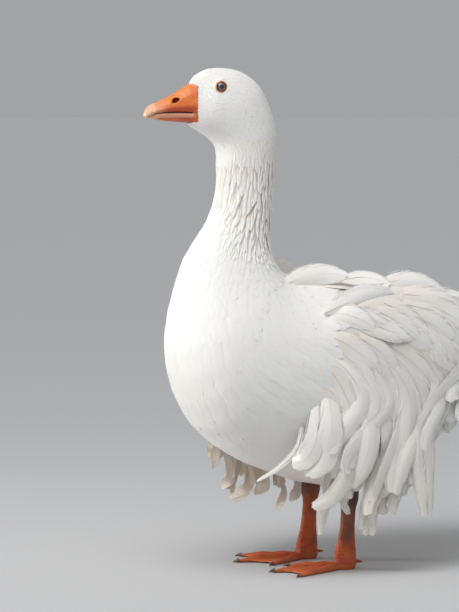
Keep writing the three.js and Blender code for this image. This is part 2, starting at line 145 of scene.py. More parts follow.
def meshFromArrays(name, points, quads, triangles, bakeMap, vaneMap, tone, rim):
    mesh = bpy.data.meshes.new(name)
    mesh.vertices.add(len(points))
    mesh.vertices.foreach_set("co", points.astype(np.float32).ravel())
    corners = np.concatenate([quads.ravel(), triangles.ravel()]).astype(np.int32)
    sizes = np.concatenate([np.full(len(quads), 4), np.full(len(triangles), 3)])
    starts = np.concatenate([[0], np.cumsum(sizes)[:-1]]).astype(np.int32)
    mesh.loops.add(len(corners))
    mesh.loops.foreach_set("vertex_index", corners)
    mesh.polygons.add(len(sizes))
    mesh.polygons.foreach_set("loop_start", starts)
    mesh.update(calc_edges=True)
    mesh.polygons.foreach_set("use_smooth", np.ones(len(sizes), bool))
    for mapName, values in (("OFBake", bakeMap), ("Vane", vaneMap)):
        layer = mesh.uv_layers.new(name=mapName)
        layer.data.foreach_set("uv", values[corners].astype(np.float32).ravel())
    attribute = mesh.attributes.new("tone", "FLOAT", "POINT")
    attribute.data.foreach_set("value", tone.astype(np.float32))
    ends = np.empty(len(mesh.edges) * 2, np.int32)
    mesh.edges.foreach_get("vertices", ends)
    sharp = mesh.attributes.new("sharp_edge", "BOOLEAN", "EDGE")
    sharp.data.foreach_set("value", rim[ends.reshape(-1, 2)].all(axis=1))
    piece = bpy.data.objects.new(name, mesh)
    bpy.context.scene.collection.objects.link(piece)
    return piece


# The head's own frame, from the eyes: side is towards the bird's left, forward along the bill
eyeCentre = {}
for name in sides:
    low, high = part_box(f"eye_{name}")
    eyeCentre[name] = (np.array(low) + np.array(high)) / 2
headSide = unit(eyeCentre["left"] - eyeCentre["right"])
headForward = np.array([headSide[1], -headSide[0], 0.0])
eyeForward = 0.0375  # the eyes are this far ahead of the neck's upright axis
eyeMiddle = (eyeCentre["left"] + eyeCentre["right"]) / 2
neckAxis = eyeMiddle - headForward * eyeForward
neckAxis[2] = 0
headTurn = math.atan2(headSide[1], headSide[0])
turnFrom, turnTo = 0.44, 0.54


def turned(points):
    share = smoothStep(turnFrom, turnTo, points[:, 2])
    angle = headTurn * share
    x, y = points[:, 0], points[:, 1]
    return np.stack([
        neckAxis[0] + x * np.cos(angle) - y * np.sin(angle),
        neckAxis[1] + x * np.sin(angle) + y * np.cos(angle),
        points[:, 2],
    ], axis=1)


def headPoint(side, forward, height):
    return neckAxis + headSide * side + headForward * forward + np.array([0, 0, height])


# The middle of the bird from the bill to the tail: how far behind the neck's axis, and how high
spine = {
    "bill root": (-0.079, 0.585),
    "eye": (-0.049, 0.592),
    "cheek": (-0.018, 0.578),
    "nape": (-0.002, 0.550),
    "high neck": (0.0, 0.511),
    "mid neck": (-0.001, 0.478),
    "low neck": (-0.009, 0.442),
    "neck base": (-0.025, 0.408),
    "neck root": (-0.033, 0.370),
    "crop": (-0.033, 0.335),
    "breast front": (-0.024, 0.305),
    "breast": (-0.006, 0.280),
    "shoulder": (0.025, 0.258),
    "keel": (0.064, 0.245),
    "belly": (0.115, 0.235),
    "loin": (0.178, 0.232),
    "abdomen": (0.242, 0.239),
    "rump": (0.302, 0.253),
    "rump end": (0.352, 0.270),
    "tail": (0.421, 0.262),
}
spinePoints = turned(np.array([(0, back, height) for back, height in spine.values()]))
spineSteps = np.diff(spinePoints, axis=0)
spineLengths = np.linalg.norm(spineSteps, axis=1)
spineShares = np.concatenate([[0], np.cumsum(spineLengths)]) / spineLengths.sum()
shareAt = dict(zip(spine, spineShares))
spineTangents = unit(spineSteps)
bodySide = np.array([1.0, 0.0, 0.0])


# For each point: its share of the way along the spine, the spine's direction there, and the
# place round it, from -1 to 1 with 0 at the back
def alongSpine(points):
    found = []
    for part in np.array_split(points, max(1, len(points) // 20000)):
        offset = part[:, None, :] - spinePoints[None, :-1, :]
        reach = np.clip((offset * spineSteps).sum(-1) / spineLengths**2, 0, 1)
        away = offset - reach[..., None] * spineSteps
        distance = np.linalg.norm(away, axis=-1)
        nearest = distance.min(axis=1, keepdims=True)
        spread = 0.3 * nearest + 0.004
        weight = np.exp(-(distance**2 - nearest**2) / (2 * spread**2))
        weight /= weight.sum(axis=1, keepdims=True)
        share = spineShares[:-1] + reach * np.diff(spineShares)
        tangent = unit((weight[..., None] * spineTangents).sum(axis=1))
        outward = (weight[..., None] * away).sum(axis=1)
        turn = smoothStep(turnFrom, turnTo, part[:, 2])[:, None]
        side = unit(bodySide * (1 - turn) + headSide * turn)
        up = np.cross(tangent, side)
        around = np.arctan2(dot(outward, side), dot(outward, up))[:, 0] / math.pi
        found.append(np.column_stack([(weight * share).sum(axis=1), tangent, around]))
    found = np.concatenate(found)
    return found[:, 0], found[:, 1:4], found[:, 4]


# How thick the coat is at each place along the spine
coatDepth = {
    "bill root": 0.0004, "eye": 0.0005, "cheek": 0.0005, "nape": 0.0006, "high neck": 0.0018,
    "mid neck": 0.0028, "low neck": 0.0030, "neck base": 0.0020, "neck root": 0.0013,
    "breast": 0.0013, "belly": 0.0013, "tail": 0.004,
}


def depthAt(share):
    return np.interp(share, [shareAt[name] for name in coatDepth], list(coatDepth.values()))


print("places on the bird ready")


# Where the camera stands, in degrees round the bird and over the floor, and what it aims at
shot = {
    "azimuth": 60, "elevation": 4.5, "distance": 3.6, "lens": 167.3,
    "aim": (-0.0605, -0.1512, 0.329),
}


def addCamera():
    azimuth = math.radians(shot["azimuth"])
    elevation = math.radians(shot["elevation"])
    aim = Vector(shot["aim"])
    back = Vector((
        math.cos(elevation) * math.sin(azimuth),
        -math.cos(elevation) * math.cos(azimuth),
        math.sin(elevation),
    ))
    camera = bpy.data.objects.new("camera", bpy.data.cameras.new("camera"))
    bpy.context.scene.collection.objects.link(camera)
    camera.location = aim + back * shot["distance"]
    camera.rotation_euler = back.to_track_quat("Z", "Y").to_euler()
    camera.data.lens = shot["lens"]
    camera.data.sensor_fit = "AUTO"
    camera.data.sensor_width = 36
    camera.data.clip_end = 50
    bpy.context.scene.camera = camera


lights = {
    "key": {"place": (0.9, -2.4, 2.8), "target": (0, 0, 0.3), "size": 1.4, "power": 42,
            "colour": (1.0, 0.99, 0.975), "spread": 180},
    "fill": {"place": (-1.9, -2.7, 0.9), "target": (0, -0.1, 0.15), "size": 1.0, "power": 4.5,
             "colour": (1.0, 0.96, 0.90), "spread": 50},
}


def addLight(name, look):
    light = bpy.data.objects.new(name, bpy.data.lights.new(name, "AREA"))
    bpy.context.scene.collection.objects.link(light)
    light.location = look["place"]
    back = Vector(look["place"]) - Vector(look["target"])
    light.rotation_euler = back.to_track_quat("Z", "Y").to_euler()
    light.data.shape = "DISK"
    light.data.size = look["size"]
    light.data.energy = look["power"]
    light.data.color = look["colour"]
    light.data.spread = math.radians(look["spread"])


# The floor and the air round the bird, with a broad soft light from above
studio = {
    "floor": (0.50, 0.505, 0.515), "floorSize": 200, "floorRoughness": 0.85,
    "air": (0.36, 0.365, 0.375), "airStrength": 1.0,
    "sky": 1.25, "skySoftness": 40, "skyFrom": (0.30, -0.30, 1.0),
}


def addStudio():
    sky = bpy.data.objects.new("sky", bpy.data.lights.new("sky", "SUN"))
    bpy.context.scene.collection.objects.link(sky)
    sky.rotation_euler = Vector(studio["skyFrom"]).to_track_quat("Z", "Y").to_euler()
    sky.data.energy = studio["sky"]
    sky.data.angle = math.radians(studio["skySoftness"])
    for name, look in lights.items():
        addLight(name, look)
    bpy.ops.mesh.primitive_plane_add(size=studio["floorSize"], location=(0, 0, 0))
    floor = bpy.context.active_object
    floor.name = "floor"
    material = bpy.data.materials.new("floor")
    material.use_nodes = True
    shader = material.node_tree.nodes["Principled BSDF"]
    shader.inputs["Base Color"].default_value = (*studio["floor"], 1)
    shader.inputs["Roughness"].default_value = studio["floorRoughness"]
    floor.data.materials.append(material)
    world = bpy.data.worlds.new("studio")
    world.use_nodes = True
    background = world.node_tree.nodes["Background"]
    background.inputs["Color"].default_value = (*studio["air"], 1)
    background.inputs["Strength"].default_value = studio["airStrength"]
    bpy.context.scene.world = world
    bpy.context.scene.view_settings.view_transform = "Standard"


addCamera()
addStudio()
print("camera, light and floor ready")


# The skin: fineness of its remesh, a pad under each folded wing, and finer faces on the head
skinShape = {
    "voxel": 0.004, "smoothing": 10, "lastSmoothing": 2,
    "wingSize": (0.030, 0.128, 0.080), "wingPlace": (0.104, 0.002, 0.281),
    "headCuts": 2, "headFrom": 0.53,
}
# The lid round each eye. Its rings run from the outer edge over the lid, down inside and back
# underneath: distance from the eye's axis, height over the eye's centre or over the skin, and
# how much of that height the skin decides
lid = {
    "reach": 0.0079, "clear": 0.0008, "columns": 56, "turn": 0.031, "crease": 0.00012,
    "hole": 0.0080, "holeDepth": 0.0078, "drillLength": 0.03, "drillSides": 64,
    "almond": {"corner": 0.08, "narrower": 0.03, "within": 0.0076, "over": 0.003},
    "creased": {"from": 0.0060, "to": 0.0075, "over": 0.004, "creases": 20, "shift": 5000},
    "bareTo": 0.0072, "featheredFrom": 0.0077, "deep": (0.62, 0.14, 0.03),
    "light": (0.80, 0.30, 0.06),
    "rings": [
        (0.0106, -0.0018, 1), (0.0099, -0.0006, 1), (0.0092, 0.0003, 1), (0.0087, 0.0030, 0.85),
        (0.0082, 0.0034, 0.5), (0.0079, 0.0034, 0.3), (0.0076, 0.0038, 0.1), (0.0073, 0.0043, 0),
        (0.0070, 0.0044, 0), (0.0067, 0.0049, 0), (0.0064, 0.0049, 0), (0.0061, 0.0053, 0),
        (0.0059, 0.0052, 0), (0.0058, 0.0048, 0), (0.0060, 0.0044, 0), (0.0066, 0.0036, 0),
        (0.0073, 0.0018, 0), (0.0076, -0.0004, 0), (0.0078, -0.0030, 0), (0.0100, -0.0036, 0),
    ],
}


def subdivideWhere(piece, chosen, cuts):
    useOnly(piece)
    bpy.ops.object.mode_set(mode="EDIT")
    bpy.ops.mesh.select_mode(type="VERT")
    bpy.ops.mesh.select_all(action="DESELECT")
    bpy.ops.object.mode_set(mode="OBJECT")
    piece.data.vertices.foreach_set("select", chosen)
    bpy.ops.object.mode_set(mode="EDIT")
    bpy.ops.mesh.select_mode(type="FACE")
    bpy.ops.mesh.subdivide(number_cuts=cuts, smoothness=1)
    bpy.ops.object.mode_set(mode="OBJECT")


def fromEye(points, name):
    axis = headSide * sides[name]
    offset = points - eyeCentre[name]
    outward = dot(offset, axis)
    flat = offset - outward * axis
    return axis, outward[:, 0], flat, np.linalg.norm(flat, axis=1)


def boolean(piece, other, operation):
    applyModifier(piece, "BOOLEAN", operation=operation, solver="EXACT", object=other)
    bpy.data.objects.remove(other)


def makeDrill(name):
    axis = headSide * sides[name]
    length = lid["drillLength"]
    bpy.ops.mesh.primitive_cylinder_add(
        vertices=lid["drillSides"], radius=lid["hole"], depth=length)
    drill = bpy.context.active_object
    place = eyeCentre[name] + axis * (length / 2 - lid["holeDepth"])
    turn = Vector(axis).to_track_quat("Z", "Y").to_matrix().to_4x4()
    drill.matrix_world = Matrix.Translation(place) @ turn
    useOnly(drill)
    bpy.ops.object.transform_apply(location=True, rotation=True, scale=True)
    return drill


def makeLid(piece, name):
    tree = treeOf(piece)
    almond, creased = lid["almond"], lid["creased"]
    axis, centre, columns = headSide * sides[name], eyeCentre[name], lid["columns"]
    turn = np.linspace(0, 2 * math.pi, columns, endpoint=False) + lid["turn"]
    away = headForward * np.cos(turn)[:, None] + np.array([0, 0, 1.0]) * np.sin(turn)[:, None]
    points = []
    for radius, height, own in lid["rings"]:
        wider = almond["corner"] * np.abs(np.cos(turn)) ** 5 - almond["narrower"]
        wider = 1 + wider * (radius < almond["within"]) * (height > almond["over"])
        flat = away * (radius * wider)[:, None]
        level = np.full(columns, height, float)
        if own:
            for i, spot in enumerate(centre + flat + axis * lid["drillLength"]):
                hit = tree.ray_cast(Vector(spot), Vector(-axis))[0]
                skinLevel = (np.array(hit) - centre) @ axis
                level[i] = skinLevel + height if own == 1 else own * skinLevel + (1 - own) * height
        if creased["from"] < radius < creased["to"] and height > creased["over"]:
            wave = np.sin(turn * creased["creases"] + radius * creased["shift"])
            level += lid["crease"] * wave
        points.append(centre + flat + level[:, None] * axis)
    rows, faces = len(points), []
    for row in range(rows):
        a, b = row * columns, (row + 1) % rows * columns
        for i in range(columns):
            j = (i + 1) % columns
            faces.append((a + i, a + j, b + j, b + i))
    mesh = bpy.data.meshes.new("lid")
    mesh.from_pydata([tuple(point) for point in np.concatenate(points)], [], faces)
    ring = bpy.data.objects.new("lid", mesh)
    bpy.context.scene.collection.objects.link(ring)
    turnOutward(ring)
    return ring


# The eye's hole is drilled, and the lid is joined on as a ring
def addSocket(piece, name):
    drill = makeDrill(name)
    ring = makeLid(piece, name)
    boolean(piece, drill, "DIFFERENCE")
    boolean(piece, ring, "UNION")


# The bill's places are ahead of the neck's axis, and heights over the ground. The border lies
# where the face's feathers end: heights, and how far ahead it is there
bill = {
    "voxel": 0.0007, "smoothing": 8, "nostril": (0.0915, 0.5890), "tilt": 27,
    "long": 0.0060, "tall": 0.0025, "deep": 0.0030, "nostrilRim": 0.0006,
    "nail": 0.1165, "nailRound": 0.0035, "nailStep": 0.00035, "halfWidth": 0.008,
    "upperGroove": 0.5768, "lowerGroove": 0.5668, "groove": 0.0003,
    "collar": 0.0705, "collarRoom": 0.0018, "mouth": 0.5742, "chin": 0.54,
    "borderHeights": (0.5610, 0.5630, 0.5750, 0.6070, 0.6100),
    "borderAhead": (0.0740, 0.0650, 0.0660, 0.0642, 0.0740), "borderRoom": 0.0012,
}


def headCoords(points):
    offset = points - neckAxis
    return offset @ headSide, offset @ headForward, points[:, 2]


# Rings round the nostril: 1 on its edge
def nostrilRing(side, ahead, height):
    tilt = math.radians(bill["tilt"])
    a, h = ahead - bill["nostril"][0], height - bill["nostril"][1]
    along = (a * math.cos(tilt) - h * math.sin(tilt)) / bill["long"]
    over = (a * math.sin(tilt) + h * math.cos(tilt)) / bill["tall"]
    return np.where(np.abs(side) > 0.002, np.hypot(along, over), 9)


# The line along which the feathering of the face meets the bill
def behindBorder(points, margin=0.0):
    _, ahead, height = headCoords(points)
    return ahead + margin < np.interp(height, bill["borderHeights"], bill["borderAhead"])


# The face's skin reaches a little forward over the bill's rear
def makeCollar():
    collar = copyOfNodes(["bill_upper", "bill_lower"], "collar")
    editAll(collar, bpy.ops.mesh.bisect, plane_co=headPoint(0, bill["collar"], bill["mouth"]),
            plane_no=headForward, use_fill=True, clear_outer=True)
    turnOutward(collar)
    movePoints(collar, pointsOf(collar) + normalsOf(collar) * bill["collarRoom"])
    return collar


def makeBody():
    body = copyOfNodes(
        ["trunk", "neck", "head", "eye_left", "eye_right", "thigh_left", "thigh_right"], "skin")
    pads = []
    for side in sides.values():
        x, y, z = skinShape["wingPlace"]
        bpy.ops.mesh.primitive_uv_sphere_add(
            segments=40, ring_count=20, location=(side * x, y, z), scale=skinShape["wingSize"])
        bpy.ops.object.transform_apply(location=True, rotation=True, scale=True)
        pads.append(bpy.context.active_object)
    body = joinPieces([body, makeCollar(), *pads], "skin")
    applyModifier(body, "REMESH", mode="VOXEL", voxel_size=skinShape["voxel"])
    applyModifier(body, "SMOOTH", factor=0.5, iterations=skinShape["smoothing"])
    subdivideWhere(body, pointsOf(body)[:, 2] > skinShape["headFrom"], skinShape["headCuts"])
    points = pointsOf(body)
    share, _, _ = alongSpine(points)
    movePoints(body, points - normalsOf(body) * depthAt(share)[:, None])
    applyModifier(body, "SMOOTH", factor=0.5, iterations=skinShape["lastSmoothing"])
    for name in sides:
        addSocket(body, name)
    shadeSmooth(body)
    return body


body = makeBody()
print("skin", len(body.data.vertices), "points")


# The horn of the bill's upper or lower half, with its nostrils, nail and grooves
def makeHorn(name):
    piece = copyOfNodes([f"bill_{name}"], f"bill_horn_{name}")
    applyModifier(piece, "REMESH", mode="VOXEL", voxel_size=bill["voxel"])
    applyModifier(piece, "SMOOTH", factor=0.5, iterations=bill["smoothing"])
    points, normals = pointsOf(piece), normalsOf(piece)
    side, ahead, height = headCoords(points)
    ring = nostrilRing(side, ahead, height)
    if name == "upper":
        sink = (-bill["deep"] * np.exp(-1.6 * ring**2)
                + bill["nostrilRim"] * np.exp(-9 * (ring - 1.35) ** 2))
        past = ahead - bill["nail"] - bill["nailRound"] * (side / bill["halfWidth"]) ** 2
        nail = bill["nailStep"] * smoothStep(0, 0.0008, past)
        groove = -bill["groove"] * np.exp(-((height - bill["upperGroove"]) / 0.0007) ** 2)
        groove = groove * (1 - smoothStep(0.10, 0.11, ahead))
        points = points + normals * (sink + nail + groove)[:, None]
    else:
        groove = -bill["groove"] * np.exp(-((height - bill["lowerGroove"]) / 0.0006) ** 2)
        points = points + normals * groove[:, None]
    movePoints(piece, points)
    for key, values in (("ahead", ahead), ("height", height), ("nostril", ring)):
        addAttribute(piece, key, values)
    shadeSmooth(piece)
    print(piece.name, len(piece.data.vertices), "points")
    return piece


horns = {name: makeHorn(name) for name in ("upper", "lower")}
print("bill shaped")


# What the coat grows on
def makeGround():
    points, normals = pointsOf(body), normalsOf(body)
    body.data.calc_loop_triangles()
    flat = np.empty(len(body.data.loop_triangles) * 3, np.int32)
    body.data.loop_triangles.foreach_get("vertices", flat)
    triangles = flat.reshape(-1, 3)
    tree = BVHTree.FromPolygons(points.tolist(), triangles.tolist())
    return {"tree": tree, "points": points, "normals": normals, "triangles": triangles,
            "faceNormals": unit(normals[triangles].mean(axis=1))}


ground = makeGround()


def ontoGround(points):
    tree, faceNormals = ground["tree"], ground["faceNormals"]
    found = [tree.find_nearest(point) for point in points]
    spots = np.array([place for place, _, _, _ in found])
    normals = faceNormals[[index for _, _, index, _ in found]]
    return spots, normals


# Where the folded wing lies: its front edge as heights and places along the bird, its lower edge
# in the same way, and how soft both are. Then how its feathers slope below its top: the degrees
# on top, and how many more on the side.
wing = {
    "front": [(0.17, -0.116), (0.235, -0.127), (0.30, -0.126), (0.345, -0.112), (0.40, -0.085)],
    "lowAt": (-0.12, 0.15), "low": (0.185, 0.235), "frontSoft": (-0.004, 0.014),
    "lowSoft": (-0.005, 0.02), "top": 0.372, "fall": 0.15, "slope": 8, "steeper": 62,
}


# 1 on the folded wings and the back, 0 elsewhere
def onWing(points):
    heights, fronts = zip(*wing["front"])
    front = np.interp(points[:, 2], heights, fronts)
    low = np.interp(points[:, 1], wing["lowAt"], wing["low"])
    return (smoothStep(*wing["frontSoft"], points[:, 1] - front)
            * smoothStep(*wing["lowSoft"], points[:, 2] - low))


# The way the feathers point: along the spine, and on the wings more and more downwards
def lieOf(points, normals, tangent, bend=0.0):
    side = np.clip((wing["top"] - points[:, 2]) / wing["fall"], 0, 1)
    slope = np.radians(wing["slope"] + wing["steeper"] * side**1.15)
    wingWay = np.stack([np.zeros(len(points)), np.cos(slope), -np.sin(slope)], axis=1)
    share = onWing(points)[:, None]
    way = tangent * (1 - share) + wingWay * share
    way = unit(way - dot(way, normals) * normals)
    if np.any(bend):
        aside = np.cross(normals, way)
        way = unit(way * np.cos(bend)[:, None] + aside * np.sin(bend)[:, None])
    return way


# Where feathers grow: evenly spaced over the chosen part of the skin, closer across than along
def scatter(choose, across, lengthwise, crowd, sizeOf=None):
    corners = ground["points"][ground["triangles"]]
    middle = corners.mean(axis=1)
    share, _, around = alongSpine(middle)
    wanted = choose(middle, share, around)
    corners = corners[wanted]
    triangles = ground["triangles"][wanted]
    areas = np.linalg.norm(
        np.cross(corners[:, 1] - corners[:, 0], corners[:, 2] - corners[:, 0]), axis=1) / 2
    if sizeOf:
        areas /= sizeOf(middle[wanted], share[wanted]) ** 2
    count = int(areas.sum() / (across * lengthwise) * crowd)
    picked = dice.choice(len(areas), count, p=areas / areas.sum())
    r, s = np.sqrt(dice.random(count)), dice.random(count)
    mix = np.stack([1 - r, r * (1 - s), r * s], axis=1)[:, :, None]
    points = (corners[picked] * mix).sum(axis=1)
    normals = unit((ground["normals"][triangles[picked]] * mix).sum(axis=1))
    share, tangent, around = alongSpine(points)
    way = lieOf(points, normals, tangent)
    aside = np.cross(normals, way)
    tree = KDTree(count)
    for i, point in enumerate(points):
        tree.insert(point, i)
    tree.balance()
    free = np.ones(count, bool)
    kept = []
    reach = max(across, lengthwise)
    size = sizeOf(points, share) if sizeOf else np.ones(count)
    for i in range(count):
        if not free[i]:
            continue
        kept.append(i)
        near = np.array([j for _, j, _ in tree.find_range(points[i], reach)])
        offset = points[near] - points[i]
        apart = (offset @ way[i] / lengthwise) ** 2 + (offset @ aside[i] / across) ** 2
        free[near[apart < size[i]**2]] = False
    return {
        "points": points[kept], "normals": normals[kept],
        "share": share[kept], "around": around[kept], "size": size[kept],
    }


# Paths over the skin that follow the lie of the coat, and the upward direction along them
def walk(points, normals, lengths, rows, bend=0.0):
    paths, ups = [points], [normals]
    step = (lengths / (rows - 1))[:, None]
    for _ in range(rows - 1):
        _, tangent, _ = alongSpine(points)
        way = lieOf(points, normals, tangent, bend)
        points, normals = ontoGround(points + way * step)
        paths.append(points)
        ups.append(normals)
    return np.stack(paths, axis=1), np.stack(ups, axis=1)


# On the coat's map each tuft takes a patch this wide, at its place on the unwrapped skin
tuftPatch = 0.003


def unwrapOf(share, around):
    return np.stack([0.02 + 0.95 * (around + 1) / 2, 0.02 + 0.95 * share], axis=1)


# Directions along paths, across them and upwards
def framesAlong(paths, ups):
    along = unit(np.gradient(paths, axis=1))
    across = unit(np.cross(along, ups))
    return along, across, np.cross(across, along)


# A vane's width along its length, 1 where it is widest
def outlineOf(t, root=0.1, tip=0.94, power=0.6):
    return np.sin(math.pi * (root + (tip - root) * t)) ** power


# The make of every vane: how uneven its sides are, how its two folds run across and along it and
# how strong they are, how much thinner its sides are, and how far its tip is rounded and the tip's
# corners step back
vaneShape = {
    "sideFray": 0.35, "edgeFray": 0.8, "folds": ((2.6, 3, 1), (6, -5, 0.6)),
    "thinner": 0.7, "round": 0.45, "corner": 0.2,
}
fullTurn = 6.28


# A feather's vane as a thin closed sheet, a little cupped, with a frayed edge
def sheets(paths, ups, half, roots, tones, look):
    count, rows, _ = paths.shape
    columns = look["columns"]
    along, across, lift = framesAlong(paths, ups)
    t = np.linspace(0, 1, rows)
    a = np.linspace(-1, 1, columns)
    outline = outlineOf(t, *look.get("outline", (0.1, 0.94, 0.6)))
    wide = half[:, None] * outline[None] * look.get("core", 1)
    offset = wide[:, :, None] * a
    uneven = look["fray"] * vaneShape["sideFray"] * dice.normal(size=offset.shape)
    offset *= 1 + uneven * (abs(a) > 0.9)
    turn = fullTurn * dice.random((count, 2, 1, 1))
    fold = 0
    for i, (runAcross, runAlong, part) in enumerate(vaneShape["folds"]):
        fold = fold + part * np.sin(a * runAcross + t[:, None] * runAlong + turn[:, i])
    sag = look.get("fold", 0) * fold * np.sin(math.pi * t)[:, None] - look["cup"] * a**2
    sag = sag * wide[:, :, None]
    inner = np.zeros((rows, columns))
    inner[1:-1, 1:-1] = 1
    body = look["thick"] * inner * np.sqrt(1 - vaneShape["thinner"] * a**2)[None]
    frayed = np.zeros((count, rows, columns))
    frayed[:, -1] = dice.normal(size=(count, columns)) * look["fray"] - vaneShape["round"] * a**2
    frayed[:, -1, 1::2] -= look.get("teeth", 0)
    corner = vaneShape["corner"] * outline[-1] * (a[1] - a[0])  # the last faces stay convex
    frayed[:, -1, 0] = frayed[:, -1, 1] - corner
    frayed[:, -1, -1] = frayed[:, -1, -2] - corner
    edges = dice.normal(size=(count, rows - 2, 2)) * look["fray"] * vaneShape["edgeFray"]
    frayed[:, 1:-1, [0, -1]] = edges
    shift = frayed * half[:, None, None]
    base = (paths[:, :, None] + across[:, :, None] * offset[..., None]
            + along[:, :, None] * shift[..., None])
    lift = np.repeat(lift[:, :, None], columns, axis=2)
    if look.get("wrap"):  # it follows the skin's shape across as well
        spots, normals = ontoGround(paths.reshape(-1, 3))
        height = dot(paths.reshape(-1, 3) - spots, normals).reshape(count, rows, 1, 1)
        spots, normals = ontoGround(base.reshape(-1, 3))
        lift = normals.reshape(base.shape)
        base = spots.reshape(base.shape) + lift * height
    top = base + lift * (sag + body)[..., None]
    under = (base + lift * (sag - body)[..., None])[:, 1:-1, 1:-1]
    number = np.arange(rows * columns).reshape(rows, columns)
    below = number.copy()
    below[1:-1, 1:-1] = rows * columns + np.arange((rows - 2) * (columns - 2)).reshape(
        rows - 2, columns - 2)
    one = []
    for grid, order in ((number, (0, 1, 2, 3)), (below, (3, 2, 1, 0))):
        quad = np.stack([grid[:-1, :-1], grid[:-1, 1:], grid[1:, 1:], grid[1:, :-1]], axis=-1)
        one.append(quad.reshape(-1, 4)[:, order])
    one = np.concatenate(one)
    each = rows * columns + (rows - 2) * (columns - 2)
    quads = (one[None] + np.arange(count)[:, None, None] * each).reshape(-1, 4)
    points = np.concatenate([top.reshape(count, -1, 3), under.reshape(count, -1, 3)], axis=1)
    u, v = np.meshgrid(a * 0.5 + 0.5, t)
    flatMap = np.stack([u, v], axis=-1)
    flatMap = np.concatenate([flatMap.reshape(-1, 2), flatMap[1:-1, 1:-1].reshape(-1, 2)])
    vane = np.broadcast_to(flatMap, (count, each, 2)).copy()
    rim = np.concatenate([inner.ravel() == 0, np.zeros(each - rows * columns, bool)])
    return {
        "points": points.reshape(-1, 3), "quads": quads, "triangles": np.empty((0, 3), int),
        "bake": (roots[:, None] + vane * tuftPatch).reshape(-1, 2), "vane": vane.reshape(-1, 2),
        "tone": np.repeat(tones, each), "rim": np.tile(rim, count),
    }


# Thin three-sided barbs that end in a point. place holds each row's spot on its feather.
def strands(paths, ups, half, ridge, roots, place, tones):
    count, rows, _ = paths.shape
    _, across, lift = framesAlong(paths, ups)
    wide = half[..., None]
    ring = np.stack([
        paths - across * wide, paths + across * wide, paths + lift * wide * ridge], axis=2)
    points = np.concatenate([ring[:, :-1].reshape(count, -1, 3), paths[:, -1:]], axis=1)
    each = (rows - 1) * 3 + 1
    quads, triangles = [], [(0, 1, 2)]
    for k in range(rows - 2):
        for a, b in ((0, 1), (1, 2), (2, 0)):
            quads.append((3 * k + a, 3 * k + 3 + a, 3 * k + 3 + b, 3 * k + b))
    last = 3 * (rows - 2)
    for a, b in ((0, 1), (1, 2), (2, 0)):
        triangles.append((last + a, each - 1, last + b))
    start = np.arange(count)[:, None, None] * each
    corner = np.array([(-0.12, 0), (0.12, 0), (0, 0.06)])
    spot = place[:, :, None] + corner[None, None]
    spot = np.concatenate([spot[:, :-1].reshape(count, -1, 2), place[:, -1:] + (0, 0.05)], axis=1)
    return {
        "points": points.reshape(-1, 3),
        "quads": (np.array(quads, int).reshape(1, -1, 4) + start).reshape(-1, 4),
        "triangles": (np.array(triangles)[None] + start).reshape(-1, 3),
        "bake": (roots[:, None] + np.clip(spot, 0, 1.2) * tuftPatch).reshape(-1, 2),
        "vane": spot.reshape(-1, 2), "tone": np.repeat(tones, each),
        "rim": np.zeros(count * each, bool),
    }


# Values along paths, read between their rows
def sampleAt(values, t):
    spot = t * (values.shape[1] - 1)
    low = np.clip(spot.astype(int), 0, values.shape[1] - 2)
    part = (spot - low)[..., None]
    rows = np.arange(len(values))[:, None]
    return values[rows, low] * (1 - part) + values[rows, low + 1] * part


# Loose barbs that lie on the vane's edge and stick out past it. They part into locks.
def fringe(paths, ups, half, roots, tones, look):
    count, each = len(paths), look["fringe"]
    _, across, lift = framesAlong(paths, ups)
    length = np.linalg.norm(np.diff(paths, axis=1), axis=2).sum(axis=1)
    u = np.array((0, 0.5, 1))
    parts = []
    for side in (-1, 1):
        share = (np.arange(each) + dice.random((count, each))) / each
        start = look["bare"] + (look.get("last", 0.92) - look["bare"]) * share
        phase = fullTurn * dice.random((count, 1))
        lock = np.sin(start * look["locks"] * 6 + phase)
        lock = lock * np.sin(start * look["locks"] * 14 + 2.3 * phase)
        run = look["run"] * (1 - 0.3 * start) * (1 + 0.5 * (dice.random(start.shape) - 0.5))
        end = np.minimum(start + run, 1 + 0.03 * dice.random(start.shape))
        run = end - start
        beyond = 1 + look["beyond"] * (0.3 + 0.7 * lock + 0.6 * dice.random(start.shape))
        inner = look["inner"] * outlineOf(start) * (0.7 + 0.6 * dice.random(start.shape))
        outer = outlineOf(np.minimum(end, 1)) * beyond
        t = start[..., None] + run[..., None] * u
        aside = inner[..., None] + (outer - inner)[..., None] * u**0.85
        flatT = t.reshape(count, -1)
        spots, over, high = (sampleAt(values, flatT) for values in (paths, across, lift))
        aside = aside.reshape(count, -1)
        sag = -look["cup"] * np.minimum(np.abs(aside), 1.3)**2 * half[:, None]
        loose = np.repeat(look["loose"] * dice.normal(size=start.shape), len(u), axis=1)
        sag = sag + 0.0002 + loose * np.tile(u**2, each)[None] * half[:, None]
        path = (spots + over * (side * aside * half[:, None])[..., None] + high * sag[..., None])
        many = count * each
        width = (length / each * look["fat"])[:, None, None] * np.interp(u, (0, 0.4, 1), (0.6, 1, 0.1))
        width = np.broadcast_to(width, (count, each, len(u)))
        place = np.stack([0.5 + 0.5 * side * aside, flatT], axis=-1)
        parts.append(strands(
            path.reshape(many, len(u), 3), high.reshape(many, len(u), 3),
            width.reshape(many, len(u)), look["ridge"], np.repeat(roots, each, axis=0),
            place.reshape(many, len(u), 2), np.repeat(tones, each) + 0.05 * dice.normal(size=many)))
    return parts


